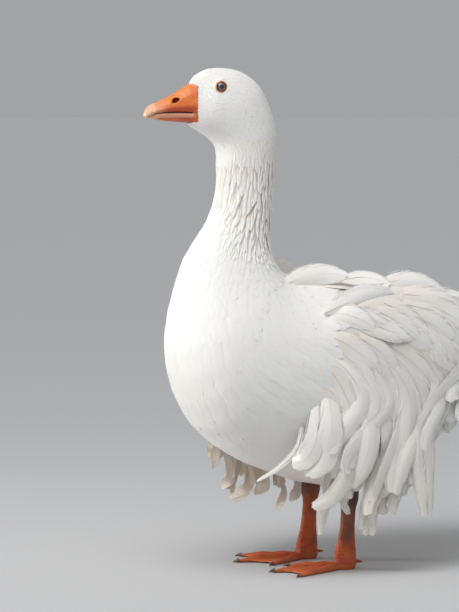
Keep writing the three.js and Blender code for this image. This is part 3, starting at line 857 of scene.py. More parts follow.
# The quill down the middle of each vane
def shafts(paths, ups, half, roots, tones):
    count, rows, _ = paths.shape
    t = np.linspace(0, 1, rows)
    wide = half[:, None] * (1 - 0.8 * t)[None]
    place = np.broadcast_to(np.stack([np.full(rows, 0.5), t], axis=-1), (count, rows, 2))
    raised = paths + framesAlong(paths, ups)[2] * wide[..., None] * 0.5
    return strands(raised, ups, wide, 1.2, roots, place, tones - 0.1)


# One piece from all the parts of a coat
def coatPiece(name, parts):
    joined, start = {}, 0
    for part in parts:
        for key in ("quads", "triangles"):
            joined.setdefault(key, []).append(part[key] + start)
        start += len(part["points"])
        for key in ("points", "bake", "vane", "tone", "rim"):
            joined.setdefault(key, []).append(part[key])
    joined = {key: np.concatenate(values) for key, values in joined.items()}
    piece = meshFromArrays(
        name, joined["points"], joined["quads"], joined["triangles"],
        joined["bake"], joined["vane"], joined["tone"], joined["rim"])
    count = 2 * len(joined["quads"]) + len(joined["triangles"])
    print(name, count, "triangles")
    return piece


def newMaterial(name):
    material = bpy.data.materials.new(name)
    material.use_nodes = True
    return material, material.node_tree, material.node_tree.nodes["Principled BSDF"]


def addNode(tree, kind, **settings):
    node = tree.nodes.new(kind)
    for key, value in settings.items():
        setattr(node, key, value)
    return node


def setInputs(node, **values):
    for name, value in values.items():
        node.inputs[name].default_value = value


def mathNode(tree, operation, a, b=None):
    node = addNode(tree, "ShaderNodeMath", operation=operation, use_clamp=False)
    for socket, value in zip(node.inputs, (a, b)):
        if isinstance(value, (int, float)):
            socket.default_value = value
        elif value is not None:
            tree.links.new(value, socket)
    return node.outputs[0]


def rangeNode(tree, value, fromLow, fromHigh, toLow=0.0, toHigh=1.0, smooth=True):
    node = addNode(tree, "ShaderNodeMapRange", clamp=True)
    node.interpolation_type = "SMOOTHSTEP" if smooth else "LINEAR"
    for socket, number in zip(node.inputs[1:5], (fromLow, fromHigh, toLow, toHigh)):
        socket.default_value = number
    tree.links.new(value, node.inputs[0])
    return node.outputs[0]


def mixNode(tree, share, a, b, blend="MIX"):
    node = addNode(tree, "ShaderNodeMix", data_type="RGBA", blend_type=blend)
    for socket, value in ((node.inputs[0], share), (node.inputs[6], a), (node.inputs[7], b)):
        if isinstance(value, (int, float)):
            socket.default_value = value
        elif isinstance(value, tuple):
            socket.default_value = (*value, 1)
        else:
            tree.links.new(value, socket)
    return node.outputs[2]


# A colour laid over another where a value runs through the limits
def layer(tree, below, value, limits, top):
    return mixNode(tree, rangeNode(tree, value, *limits), below, top)


def product(tree, first, *others):
    for other in others:
        first = mathNode(tree, "MULTIPLY", first, other)
    return first


def attributeOf(tree, name):
    return addNode(tree, "ShaderNodeAttribute", attribute_name=name).outputs["Fac"]


def placeOf(tree):
    return addNode(tree, "ShaderNodeTexCoord").outputs["Object"]


def splitOf(tree, vector):
    split = addNode(tree, "ShaderNodeSeparateXYZ")
    tree.links.new(vector, split.inputs[0])
    return split.outputs


def addBump(tree, shader, height, strength, distance):
    bump = addNode(tree, "ShaderNodeBump")
    setInputs(bump, Strength=strength, Distance=distance)
    tree.links.new(height, bump.inputs["Height"])
    tree.links.new(bump.outputs[0], shader.inputs["Normal"])


def noiseNode(tree, vector, scale, detail=2.0, roughness=0.5):
    node = addNode(tree, "ShaderNodeTexNoise")
    setInputs(node, Scale=scale, Detail=detail, Roughness=roughness)
    tree.links.new(vector, node.inputs["Vector"])
    return node.outputs[0]


def newGroup(name, inputs, outputs):
    group = bpy.data.node_groups.new(name, "ShaderNodeTree")
    for socket, kind, value in inputs:
        made = group.interface.new_socket(name=socket, in_out="INPUT", socket_type=kind)
        made.default_value = value
    for socket, kind in outputs:
        group.interface.new_socket(name=socket, in_out="OUTPUT", socket_type=kind)
    return group, group.nodes.new("NodeGroupInput"), group.nodes.new("NodeGroupOutput")


# Colours of the plumage. root is a painted shade, a tan that stands for the shade between overlapping
# feathers near their roots. cream is a stain colour that also serves as painted shade low on the bird
# and in the barbs' grooves
plumageColours = {
    "white": (0.87, 0.865, 0.85), "bright": (0.93, 0.925, 0.91), "cream": (0.87, 0.785, 0.64),
    "root": (0.70, 0.585, 0.44), "soil": (0.26, 0.17, 0.10),
}


# Where stains and painted shade lie: limits of noise, of the height and of the place to the left. The
# third and fourth number of limits are the shares they lead to. The cream low down and low on the
# right is partly a stain and partly painted shade.
stainAndShadeLook = {
    "broadScale": 14, "broad": (0.50, 0.72), "broadShare": 0.30, "low": (0.20, 0.06, 0, 0.55),
    "right": (-0.03, -0.08, 0, 0.6), "under": (0.26, 0.14),
    "fineScale": 90, "fine": (0.60, 0.74), "knee": (0.118, 0.098, 0, 0.3),
    "spot": (0.130, -0.131, 0.278), "spotReach": (0.012, 0.004, 0, 0.8),
}


# Cream stains, partly painted shade low down, and soil, that lie in the same places on skin and coat
def makeStainAndShade():
    look = stainAndShadeLook
    group, given, result = newGroup(
        "stainAndShadeGroup", [("Amount", "NodeSocketFloat", 1.0)],
        [("Cream", "NodeSocketFloat"), ("Soil", "NodeSocketFloat")])
    place = placeOf(group)
    split = splitOf(group, place)
    broad = rangeNode(group, noiseNode(group, place, look["broadScale"], 3), *look["broad"])
    # cream lower down: partly a stain, partly painted shade under the belly
    low = rangeNode(group, split["Z"], *look["low"])
    # cream low on the right side: partly a stain, partly painted shade on the far side's plumes
    under = product(group, rangeNode(group, split["X"], *look["right"]),
                    rangeNode(group, split["Z"], *look["under"]))
    cream = mathNode(group, "ADD", product(group, broad, look["broadShare"]), low)
    cream = mathNode(group, "ADD", cream, under)
    cream = mathNode(group, "MINIMUM", product(group, cream, given.outputs["Amount"]), 1.0)
    group.links.new(cream, result.inputs["Cream"])
    fine = rangeNode(group, noiseNode(group, place, look["fineScale"], 3), *look["fine"])
    knee = rangeNode(group, split["Z"], *look["knee"])
    spot = addNode(group, "ShaderNodeVectorMath", operation="DISTANCE")
    group.links.new(place, spot.inputs[0])
    spot.inputs[1].default_value = look["spot"]  # one brown spot at the wing's front
    soil = mathNode(group, "ADD", product(group, fine, knee),
                    rangeNode(group, spot.outputs["Value"], *look["spotReach"]))
    group.links.new(soil, result.inputs["Soil"])
    return group


stainAndShadeGroup = makeStainAndShade()


# The barbs' noise: how it runs across a vane, how far feathers are apart in it, its detail and
# roughness, and how far the root's shade reaches along the vane
barbLook = {"across": 3.0, "apart": 40.0, "detail": 3.0, "roughness": 0.6, "root": (0.75, 0.1)}


# Fine slanting lines of barbs on a vane, read from the feather's own map, and how much painted shade
# lies towards the vane's root
def makeBarbLines():
    look = barbLook
    group, given, result = newGroup(
        "barb lines", [("Lines", "NodeSocketFloat", 30.0), ("Slant", "NodeSocketFloat", 0.7)],
        [("Height", "NodeSocketFloat"), ("PaintedRootShade", "NodeSocketFloat")])
    split = splitOf(group, addNode(group, "ShaderNodeUVMap", uv_map="Vane").outputs[0])
    aside = mathNode(group, "ABSOLUTE", mathNode(group, "SUBTRACT", split["X"], 0.5))
    along = mathNode(group, "SUBTRACT", split["Y"], product(group, aside, given.outputs["Slant"]))
    places = (product(group, along, given.outputs["Lines"]), product(group, aside, look["across"]),
              product(group, attributeOf(group, "tone"), look["apart"]))
    combined = addNode(group, "ShaderNodeCombineXYZ")
    for socket, value in zip(combined.inputs, places):
        group.links.new(value, socket)
    lines = noiseNode(group, combined.outputs[0], 1.0, look["detail"], look["roughness"])
    group.links.new(lines, result.inputs["Height"])
    group.links.new(rangeNode(group, split["Y"], *look["root"]), result.inputs["PaintedRootShade"])
    return group


barbLines = makeBarbLines()


# What all plumage has in common
# streaks are the heights of the barbs' bump over which their grooves take painted shade
vaneLook = {
    "roughness": 0.62, "specular": 0.25, "sheen": 0.12, "relief": 0.0006,
    "creamTones": (0.55, 1.15), "streaks": (0.36, 0.62),
}


def plumage(name, look):
    material, tree, shader = newMaterial(name)
    setInputs(shader, Roughness=vaneLook["roughness"])
    shader.inputs["Specular IOR Level"].default_value = vaneLook["specular"]
    shader.inputs["Sheen Weight"].default_value = vaneLook["sheen"]
    stainAndShade = addNode(tree, "ShaderNodeGroup", node_tree=stainAndShadeGroup)
    stainAndShade.inputs["Amount"].default_value = look["stainShadeAmount"]
    lines = addNode(tree, "ShaderNodeGroup", node_tree=barbLines)
    setInputs(lines, Lines=look["lines"], Slant=look["slant"])
    creamTone = rangeNode(tree, attributeOf(tree, "tone"), *vaneLook["creamTones"], 0, look["vary"])
    cream = mathNode(tree, "ADD", stainAndShade.outputs["Cream"], creamTone)
    cream = mathNode(tree, "MINIMUM", cream, 1.0)
    c = plumageColours
    colour = mixNode(tree, cream, c[look["white"]], c["cream"])
    # painted shade: the tan root colour towards each vane's root, where it lies in the shade of the
    # feathers above
    colour = mixNode(tree, product(tree, lines.outputs["PaintedRootShade"], look["root"]), colour, c["root"])
    # painted shade: cream in the barbs' grooves, where the bump's height is low
    colour = layer(tree, colour, lines.outputs["Height"], (*vaneLook["streaks"], look["grooveShade"], 0.0),
                   c["cream"])
    colour = mixNode(tree, stainAndShade.outputs["Soil"], colour, c["soil"])
    tree.links.new(colour, shader.inputs["Base Color"])
    addBump(tree, shader, lines.outputs["Height"], look["bump"], vaneLook["relief"])
    return material


# How much each kind of plumage is stained (partly painted shade low down), varies, gets painted shade
# at the root and painted shade in its barbs' grooves
plumageLooks = {
    "close": {"white": "white", "stainShadeAmount": 0.30, "vary": 0.05, "lines": 16, "slant": 0.7, "root": 0.05,
              "grooveShade": 0.05, "bump": 0.25},
    "neck": {"white": "white", "stainShadeAmount": 0.3, "vary": 0.10, "lines": 12, "slant": 0.7, "root": 0.45,
             "grooveShade": 0.08, "bump": 0.3},
    "loose": {"white": "bright", "stainShadeAmount": 0.45, "vary": 0.12, "lines": 16, "slant": 1.3, "root": 0.35,
              "grooveShade": 0.08, "bump": 0.22},
    "drape": {"white": "bright", "stainShadeAmount": 0.6, "vary": 0.2, "lines": 26, "slant": 1.0, "root": 0.15,
              "grooveShade": 0.10, "bump": 0.25},
}
plumages = {name: plumage(f"{name} plumage", look) for name, look in plumageLooks.items()}


def finishCoat(piece, material, slot, *replaced):
    piece.data.materials.append(plumages[material])
    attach(piece, "root")
    if replaced:
        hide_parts(*replaced)


# The skin between the feathers: painted shade in tufts where it shows between them, and bare lids with
# fine grain
# down is the noise that breaks the skin's painted shade into tufts
skinLook = {
    "roughness": 0.7, "shadeNoiseScale": 160, "down": (0.3, 0.7, 0.35, 0.8),
    "lidScale": 500, "lidGrain": (0.4, 0.6), "grainScale": 700, "bump": 0.5, "relief": 0.0006,
}


def skinMaterial():
    look, c = skinLook, plumageColours
    material, tree, shader = newMaterial("feathered skin")
    setInputs(shader, Roughness=look["roughness"])
    stainAndShade = addNode(tree, "ShaderNodeGroup", node_tree=stainAndShadeGroup)
    place = placeOf(tree)
    colour = mixNode(tree, stainAndShade.outputs["Cream"], c["white"], c["cream"])
    # painted shade between the feathers: the roots' tan, broken into tufts by noise, laid on as far as
    # the deep attribute says
    down = rangeNode(tree, noiseNode(tree, place, look["shadeNoiseScale"], 4), *look["down"])
    colour = mixNode(tree, product(tree, down, attributeOf(tree, "deep")), colour, c["root"])
    grain = noiseNode(tree, place, look["lidScale"], 2)
    lidColour = layer(tree, lid["deep"], grain, look["lidGrain"], lid["light"])
    colour = mixNode(tree, attributeOf(tree, "lid"), colour, lidColour)
    tree.links.new(colour, shader.inputs["Base Color"])
    addBump(tree, shader, noiseNode(tree, place, look["grainScale"], 3), look["bump"], look["relief"])
    return material


print("materials ready")


# Random numbers without far outliers
def sway(*shape):
    return np.clip(dice.normal(size=shape), -1.3, 1.3)


# Paths that rise over the skin from root to tip
def liftPaths(paths, ups, depth, look):
    rows = paths.shape[1]
    t = np.linspace(0, 1, rows)
    rise = look["low"] + (look["high"] - look["low"]) * np.sin(math.pi / 2 * t**0.8) ** 1.2
    rise = rise[None] * depth[:, None] * (1 + look["wild"] * sway(len(paths), 1) * t)
    return paths + ups * rise[..., None]


# The upward directions turned round their paths
def rolled(paths, ups, angles):
    _, across, lift = framesAlong(paths, ups)
    turn = angles[:, None, None] if angles.ndim == 1 else angles[..., None]
    return unit(lift * np.cos(turn) + across * np.sin(turn))


# How far points are from the nearer eye's axis
def eyeGap(points):
    gap = np.full(len(points), 1.0)
    for name in sides:
        _, outward, _, away = fromEye(points, name)
        gap = np.where(outward > 0, np.minimum(gap, away), gap)
    return gap


# Feathers don't start inside the bill
def outOfBill(points):
    free = np.ones(len(points), bool)
    for piece in horns.values():
        tree = treeOf(piece)
        for i, point in enumerate(points):
            place, normal, _, _ = tree.find_nearest(Vector(point))
            free[i] &= (Vector(point) - place).dot(normal) > -0.0003
    return free


def pick(spots, chosen):
    return {key: values[chosen] for key, values in spots.items()}


# Every look of the coat has the same words. Where it grows: across and lengthwise spacing, crowd
# (trials for each place) and stray (how far a feather turns from the lie, in radians). Its shape:
# length, half (of its width), cup, fray, teeth, fold. Its rise over the skin, in coat depths: low
# at the root, high at the tip, wild for the unevenness. Its loose barbs: fringe (how many), bare,
# run, beyond, inner, locks, loose, fat, ridge. Sizes go from small to small plus more.
headFeathers = {
    "across": 0.0018, "lengthwise": 0.0033, "crowd": 4, "stray": 0.10, "end": 0.004,
    "length": 0.0105, "half": 0.0018, "rows": 3, "small": 0.5, "more": 0.5,
    "columns": 5, "thick": 0.00006, "cup": 0.20, "fray": 0.1, "teeth": 0.3,
    "low": 0.32, "high": 0.52, "wild": 0.02, "wrap": True, "outline": (0.04, 0.94, 0.6),
}


def headSize(points, share):
    look = headFeathers
    return look["small"] + look["more"] * smoothStep(0.0, shareAt["nape"], share)


def growHead():
    look = headFeathers
    spots = scatter(lambda points, share, around:
                    (share < shareAt["high neck"] - look["end"]) & behindBorder(points),
                    look["across"], look["lengthwise"], look["crowd"], headSize)
    spots = pick(spots, (eyeGap(spots["points"]) > lid["reach"])
                 & outOfBill(spots["points"]))
    paths, ups = walk(spots["points"], spots["normals"], look["length"] * spots["size"],
                      look["rows"], look["stray"] * dice.normal(size=len(spots["size"])))
    gaps = np.min([eyeGap(paths[:, row]) for row in range(look["rows"])], axis=0)
    clear = gaps > lid["reach"] + lid["clear"]
    paths, ups, spots = paths[clear], ups[clear], pick(spots, clear)
    size = spots["size"]
    count = len(size)
    paths = liftPaths(paths, ups, depthAt(spots["share"]) + 0.0002, look)
    part = sheets(paths, ups, look["half"] * size * (0.85 + 0.3 * dice.random(count)),
                  unwrapOf(spots["share"], spots["around"]), dice.random(count), look)
    finishCoat(coatPiece("head_feathers", [part]), "close", "plumage_white")


neckTufts = {
    "across": 0.0038, "lengthwise": 0.0085, "crowd": 8, "stray": 0.12, "end": 0.004,
    "length": 0.0270, "half": 0.0027, "rows": 7, "small": 0.62, "more": 0.38,
    "flatBack": (0.10, 0.40),
    "columns": 5, "thick": 0.0002, "cup": 0.42, "fray": 0.08, "teeth": 0.3,
    "low": 0.1, "high": 1.0, "wild": 0.08, "outline": (0.05, 0.99, 0.75),
}


# Finer towards the head and towards the breast
def neckSize(points, share):
    up = smoothStep(shareAt["nape"], shareAt["high neck"] + 0.02, share)
    down = 1 - smoothStep(shareAt["low neck"] + 0.01, shareAt["neck base"] + 0.01, share)
    return neckTufts["small"] + neckTufts["more"] * np.minimum(up, down)


def growNeck():
    look = neckTufts
    top, bottom = shareAt["nape"] + look["end"], shareAt["neck base"] + look["end"]
    spots = scatter(lambda points, share, around: (share > top) & (share < bottom),
                    look["across"], look["lengthwise"], look["crowd"], neckSize)
    count, size = len(spots["share"]), spots["size"]
    paths, ups = walk(spots["points"], spots["normals"],
                      look["length"] * size * (0.85 + 0.3 * dice.random(count)), look["rows"],
                      look["stray"] * dice.normal(size=count))
    flatter = 0.5 + 0.5 * smoothStep(*look["flatBack"], np.abs(spots["around"]))
    paths = liftPaths(paths, ups, depthAt(spots["share"]) * flatter, look)
    roots = unwrapOf(spots["share"], spots["around"])
    half = look["half"] * size * (0.85 + 0.3 * dice.random(count))
    part = sheets(paths, ups, half, roots, dice.random(count), look)
    finishCoat(coatPiece("neck_tufts", [part]), "neck", "plumage_white", "neck", "head")


contourFeathers = {
    "across": 0.0064, "lengthwise": 0.0090, "crowd": 6, "stray": 0.10, "start": 0.01,
    "length": 0.032, "half": 0.0092, "rows": 5, "small": 0.55, "more": 0.45,
    "columns": 9, "thick": 0.00012, "cup": 0.09, "fray": 0.04, "teeth": 0.06,
    "low": 0.25, "high": 0.75, "wild": 0.01, "wrap": True, "roll": 0.012,
    # the coat parts along the middle of the breast, up to this place and this height
    "parting": 0.016, "partingTurn": 0.20, "partingLift": 0.35, "gap": 0.0010,
    "partingRear": -0.10, "partingTop": 0.37, "upToWing": 0.85, "thin": 0.3, "thicker": 0.7,
}


def contourSize(points, share):
    look = contourFeathers
    grown = smoothStep(shareAt["neck base"] - 0.015, shareAt["breast front"], share)
    return look["small"] + look["more"] * grown


def growContour():
    look = contourFeathers
    start = shareAt["low neck"] - look["start"]
    for name, chosen in (("left", lambda x: x >= 0), ("right", lambda x: x < 0)):
        spots = scatter(lambda points, share, around:
                        (share > start) & (onWing(points) < look["upToWing"])
                        & chosen(points[:, 0])
                        & ((np.abs(points[:, 0]) > look["gap"])
                           | (points[:, 1] > look["partingRear"])
                           | (points[:, 2] > look["partingTop"])),
                        look["across"], look["lengthwise"], look["crowd"], contourSize)
        count = len(spots["share"])
        size = spots["size"]
        x = spots["points"][:, 0]
        nearParting = np.exp(-(x / look["parting"]) ** 2)
        paths, ups = walk(spots["points"], spots["normals"],
                          look["length"] * size * (0.9 + 0.2 * dice.random(count)), look["rows"],
                          look["stray"] * dice.normal(size=count)
                          + look["partingTurn"] * np.sign(x) * nearParting)
        under = smoothStep(shareAt["low neck"], shareAt["neck base"] + 0.015, spots["share"])
        under = look["thin"] + look["thicker"] * under
        under = under * (1 + look["partingLift"] * nearParting)
        paths = liftPaths(paths, ups, depthAt(spots["share"]) * under, look)
        ups = rolled(paths, ups, look["roll"] * dice.normal(size=count))
        part = sheets(paths, ups, look["half"] * size * (0.9 + 0.2 * dice.random(count)),
                      unwrapOf(spots["share"], spots["around"]), dice.random(count), look)
        replaced = ("trunk", "thigh_left", "thigh_right") if name == "left" else ()
        piece = coatPiece(f"contour_feathers_{name}", [part])
        finishCoat(piece, "close", "plumage_white", *replaced)


# The loose feathers of the folded wings and the back
looseFeathers = {
    "across": 0.0175, "lengthwise": 0.0215, "crowd": 6, "stray": 0.16, "roll": 0.14,
    "room": 0.0065, "length": 0.088, "half": 0.0190, "rows": 9, "small": 0.72, "more": 0.33,
    "columns": 7, "thick": 0.00025, "cup": 0.16, "fray": 0.05, "fold": 0.035,
    "low": 0.8, "high": 3.5, "wild": 0.18,
    "fringe": 16, "bare": 0.2, "run": 0.26, "beyond": 0.05, "inner": 0.72, "locks": 1.0,
    "loose": 0.02, "fat": 0.055, "ridge": 0.5, "shaft": 0.0004,
    # heights: the back's feathers grow over the first, the wing's from the third to the second
    "backFrom": 0.325, "wingTo": 0.34, "wingFrom": 0.225, "wingRise": 0.03,
    "backShare": 0.5, "wingShare": 0.4,  # how much of the wing there is where they grow
}


# False for a feather that would stand off a ridge with its underside in view
def hugsSkin(paths, ups, half, room):
    across = framesAlong(paths, ups)[1] * half[:, None, None]
    far = np.zeros(len(paths))
    for edge in (paths - across, paths + across):
        spots, _ = ontoGround(edge.reshape(-1, 3))
        away = np.linalg.norm(spots - edge.reshape(-1, 3), axis=1).reshape(len(paths), -1)
        far = np.maximum(far, away.max(axis=1))
    return far < room


def growLoose(name, look, choose):
    spots = scatter(choose, look["across"], look["lengthwise"], look["crowd"])
    points = spots["points"]
    count = len(points)
    size = look["small"] + look["more"] * smoothStep(-0.12, 0.10, points[:, 1])
    size *= 0.9 + 0.2 * dice.random(count)
    paths, ups = walk(points, spots["normals"], look["length"] * size, look["rows"],
                      look["stray"] * dice.normal(size=count))
    half = look["half"] * size * (0.9 + 0.2 * dice.random(count))
    close = hugsSkin(paths, ups, half, look["room"])
    paths, ups, half, spots = paths[close], ups[close], half[close], pick(spots, close)
    count = len(paths)
    paths = liftPaths(paths, ups, depthAt(spots["share"]), look)
    ups = rolled(paths, ups, look["roll"] * sway(count))
    roots = unwrapOf(spots["share"], spots["around"])
    tones = dice.random(count)
    parts = [sheets(paths - ups * 0.0006, ups, half, roots, tones, look),
             shafts(paths, ups, np.full(count, look["shaft"]), roots, tones)]
    parts += fringe(paths, ups, half, roots, tones, look)
    return coatPiece(name, parts)


# Long plumes that start on the wing and hang off it. Each side has its own number of extra
# plumes, width, curl, rise over the skin and reach to the front.
plumes = {
    "half": 0.0125, "rows": 12, "onBody": 4, "columns": 5, "core": 0.9,
    "thick": 0.0002, "cup": 0.25, "fray": 0.06, "fold": 0.05, "outline": (0.03, 0.93, 0.5),
    "fringe": 18, "bare": 0.15, "run": 0.22, "beyond": 0.04, "inner": 0.72, "locks": 1.5,
    "loose": 0.02, "fat": 0.045, "ridge": 0.5, "shaft": 0.0004, "last": 0.86,
    "rise": 0.035, "uneven": 0.007, "room": 0.005, "near": 0.03, "clear": 0.001, "sweep": 0.35,
    "twist": 0.30, "roll": 0.12, "tones": (0.1, 0.8),
    "lead": 0.035, "behind": 0.015, "tipUneven": 0.010, "outUneven": 0.005, "tuck": 0.012,
    "ahead": {"left": 0.0, "right": -0.038}, "stand": {"left": 0.006, "right": 0.013},
    "more": {"left": 0, "right": 8}, "slim": {"left": 1.0, "right": 0.72},
    "curl": {"left": 0.45, "right": 0.9},
}


# How low the plumes hang, from the front of the wing to its rear: places along the bird, and
# the heights of the tips there
hems = {
    "left": [(-0.160, 0.150), (-0.125, 0.122), (-0.100, 0.098), (-0.075, 0.074), (-0.055, 0.047),
             (-0.038, 0.052), (-0.015, 0.070), (0.005, 0.092), (0.022, 0.148), (0.050, 0.165),
             (0.120, 0.172), (0.180, 0.200)],
    "right": [(-0.175, 0.168), (-0.164, 0.142), (-0.145, 0.104), (-0.130, 0.082), (-0.111, 0.076),
              (-0.092, 0.086), (-0.066, 0.078), (-0.045, 0.084), (0.0, 0.096), (0.040, 0.130),
              (0.100, 0.158), (0.180, 0.190)],
}


# Paths over the body first, then through the air down to the tips, with a curl at the end
def hangingPaths(points, normals, look, overBody, tips, curl, stand):
    first, firstUps = walk(points, normals, overBody, look["onBody"])
    t = np.linspace(0, 1, look["onBody"])
    first = first + firstUps * (look["clear"] + stand * t)[None, :, None]
    start, way = first[:, -1], unit(first[:, -1] - first[:, -2])
    reach = np.linalg.norm(tips - start, axis=1, keepdims=True)
    aside = unit(np.cross(firstUps[:, -1], way))
    arrive = unit(np.array([0, 0, -1.0]) + aside * curl[:, None] + look["sweep"] * way)
    free = look["rows"] - look["onBody"]
    u = (np.arange(1, free + 1) / free)[None, :, None]
    path = ((2 * u**3 - 3 * u**2 + 1) * start[:, None]
            + (u**3 - 2 * u**2 + u) * (way * reach)[:, None]
            + (-2 * u**3 + 3 * u**2) * tips[:, None] + (u**3 - u**2) * (arrive * reach)[:, None])
    outward = np.sign(points[:, None, :1]) * np.array([1.0, 0, 0])
    up = unit(firstUps[:, -1:] * (1 - u) + outward * u)
    return np.concatenate([first, path], axis=1), np.concatenate([firstUps, up], axis=1)


# Places near the skin that lie too deep come out to the given room over it
def keepOutside(paths, room, near):
    shape = paths.shape
    tree = ground["tree"]
    fixed = []
    for point in paths.reshape(-1, 3):
        place, normal, _, distance = tree.find_nearest(point)
        offset = Vector(point) - place
        if distance < near and offset.dot(normal) < room:
            point = np.array(place + normal * room)
        fixed.append(point)
    return np.array(fixed).reshape(shape)


# Rows of plumes on one side, from the lowest to the highest: where they start, and how far over
# the hem, how far out and how wide they are
plumeRows = [
    {"count": 30, "front": -0.108, "rear": 0.150, "height": 0.222, "over": 0.030, "raise": 0.0,
     "out": 0.110, "half": 0.0125},
    {"count": 28, "front": -0.110, "rear": 0.155, "height": 0.250, "over": 0.045, "raise": 0.018,
     "out": 0.123, "half": 0.0145},
    {"count": 26, "front": -0.110, "rear": 0.160, "height": 0.275, "over": 0.060, "raise": 0.042,
     "out": 0.136, "half": 0.0160},
]


# Where a level ray from the side meets the skin, or else the nearest place on the skin
def startOnSide(side, y, z):
    tree = ground["tree"]
    found = []
    for yy, zz in zip(y, z):
        place, normal, index, _ = tree.ray_cast(
            Vector((side * 0.4, yy, zz)), Vector((-side, 0, 0)))
        if place is None:
            place, normal, index, _ = tree.find_nearest(Vector((side * 0.12, yy, zz)))
        found.append((np.array(place), ground["faceNormals"][index]))
    return np.array([place for place, _ in found]), np.array([normal for _, normal in found])


def plumeParts(paths, ups, half, roots, tones, look):
    return [sheets(paths - ups * 0.0003, ups, half, roots, tones, look),
            shafts(paths, ups, np.full(len(paths), look["shaft"]), roots, tones),
            *fringe(paths, ups, half, roots, tones, look)]


def growPlumes(name):
    look, side = plumes, sides[name]
    parts = []
    places, heights = zip(*hems[name])
    for row in plumeRows:
        count = row["count"] + look["more"][name]
        share = (np.arange(count) + 0.6 * dice.random(count)) / count
        front = row["front"] + look["ahead"][name]
        y = front + (row["rear"] - front) * share
        z = row["height"] + look["rise"] * share + look["uneven"] * dice.normal(size=count)
        points, normals = startOnSide(side, y, z)
        tipY = (y - look["lead"] * (1 - share) ** 2 + look["behind"]
                + look["tipUneven"] * dice.normal(size=count))
        tipZ = (np.interp(tipY, places, heights) + row["raise"]
                + look["tipUneven"] * dice.random(count))
        tipX = side * (row["out"] + look["outUneven"] * dice.normal(size=count)
                       - look["tuck"] * (1 - share) ** 4)
        tips = np.stack([tipX, tipY, tipZ], axis=1)
        curl = look["curl"][name] * dice.normal(size=count)
        over = row["over"] * (0.85 + 0.3 * dice.random(count))
        paths, ups = hangingPaths(points, normals, look, over, tips, curl, look["stand"][name])
        paths[:, 2:] = keepOutside(paths[:, 2:], look["room"], look["near"])
        t = np.linspace(0, 1, look["rows"])[None]
        twist = (look["twist"] * sway(count))[:, None] * t**1.5
        ups = rolled(paths, ups, twist + (look["roll"] * sway(count))[:, None])
        shareAlong, _, around = alongSpine(points)
        half = row["half"] * look["slim"][name] * (0.8 + 0.4 * dice.random(count))
        tones = look["tones"][0] + look["tones"][1] * dice.random(count)
        parts += plumeParts(paths, ups, half, unwrapOf(shareAlong, around), tones, look)
    return coatPiece(f"hanging_plumes_{name}", parts)


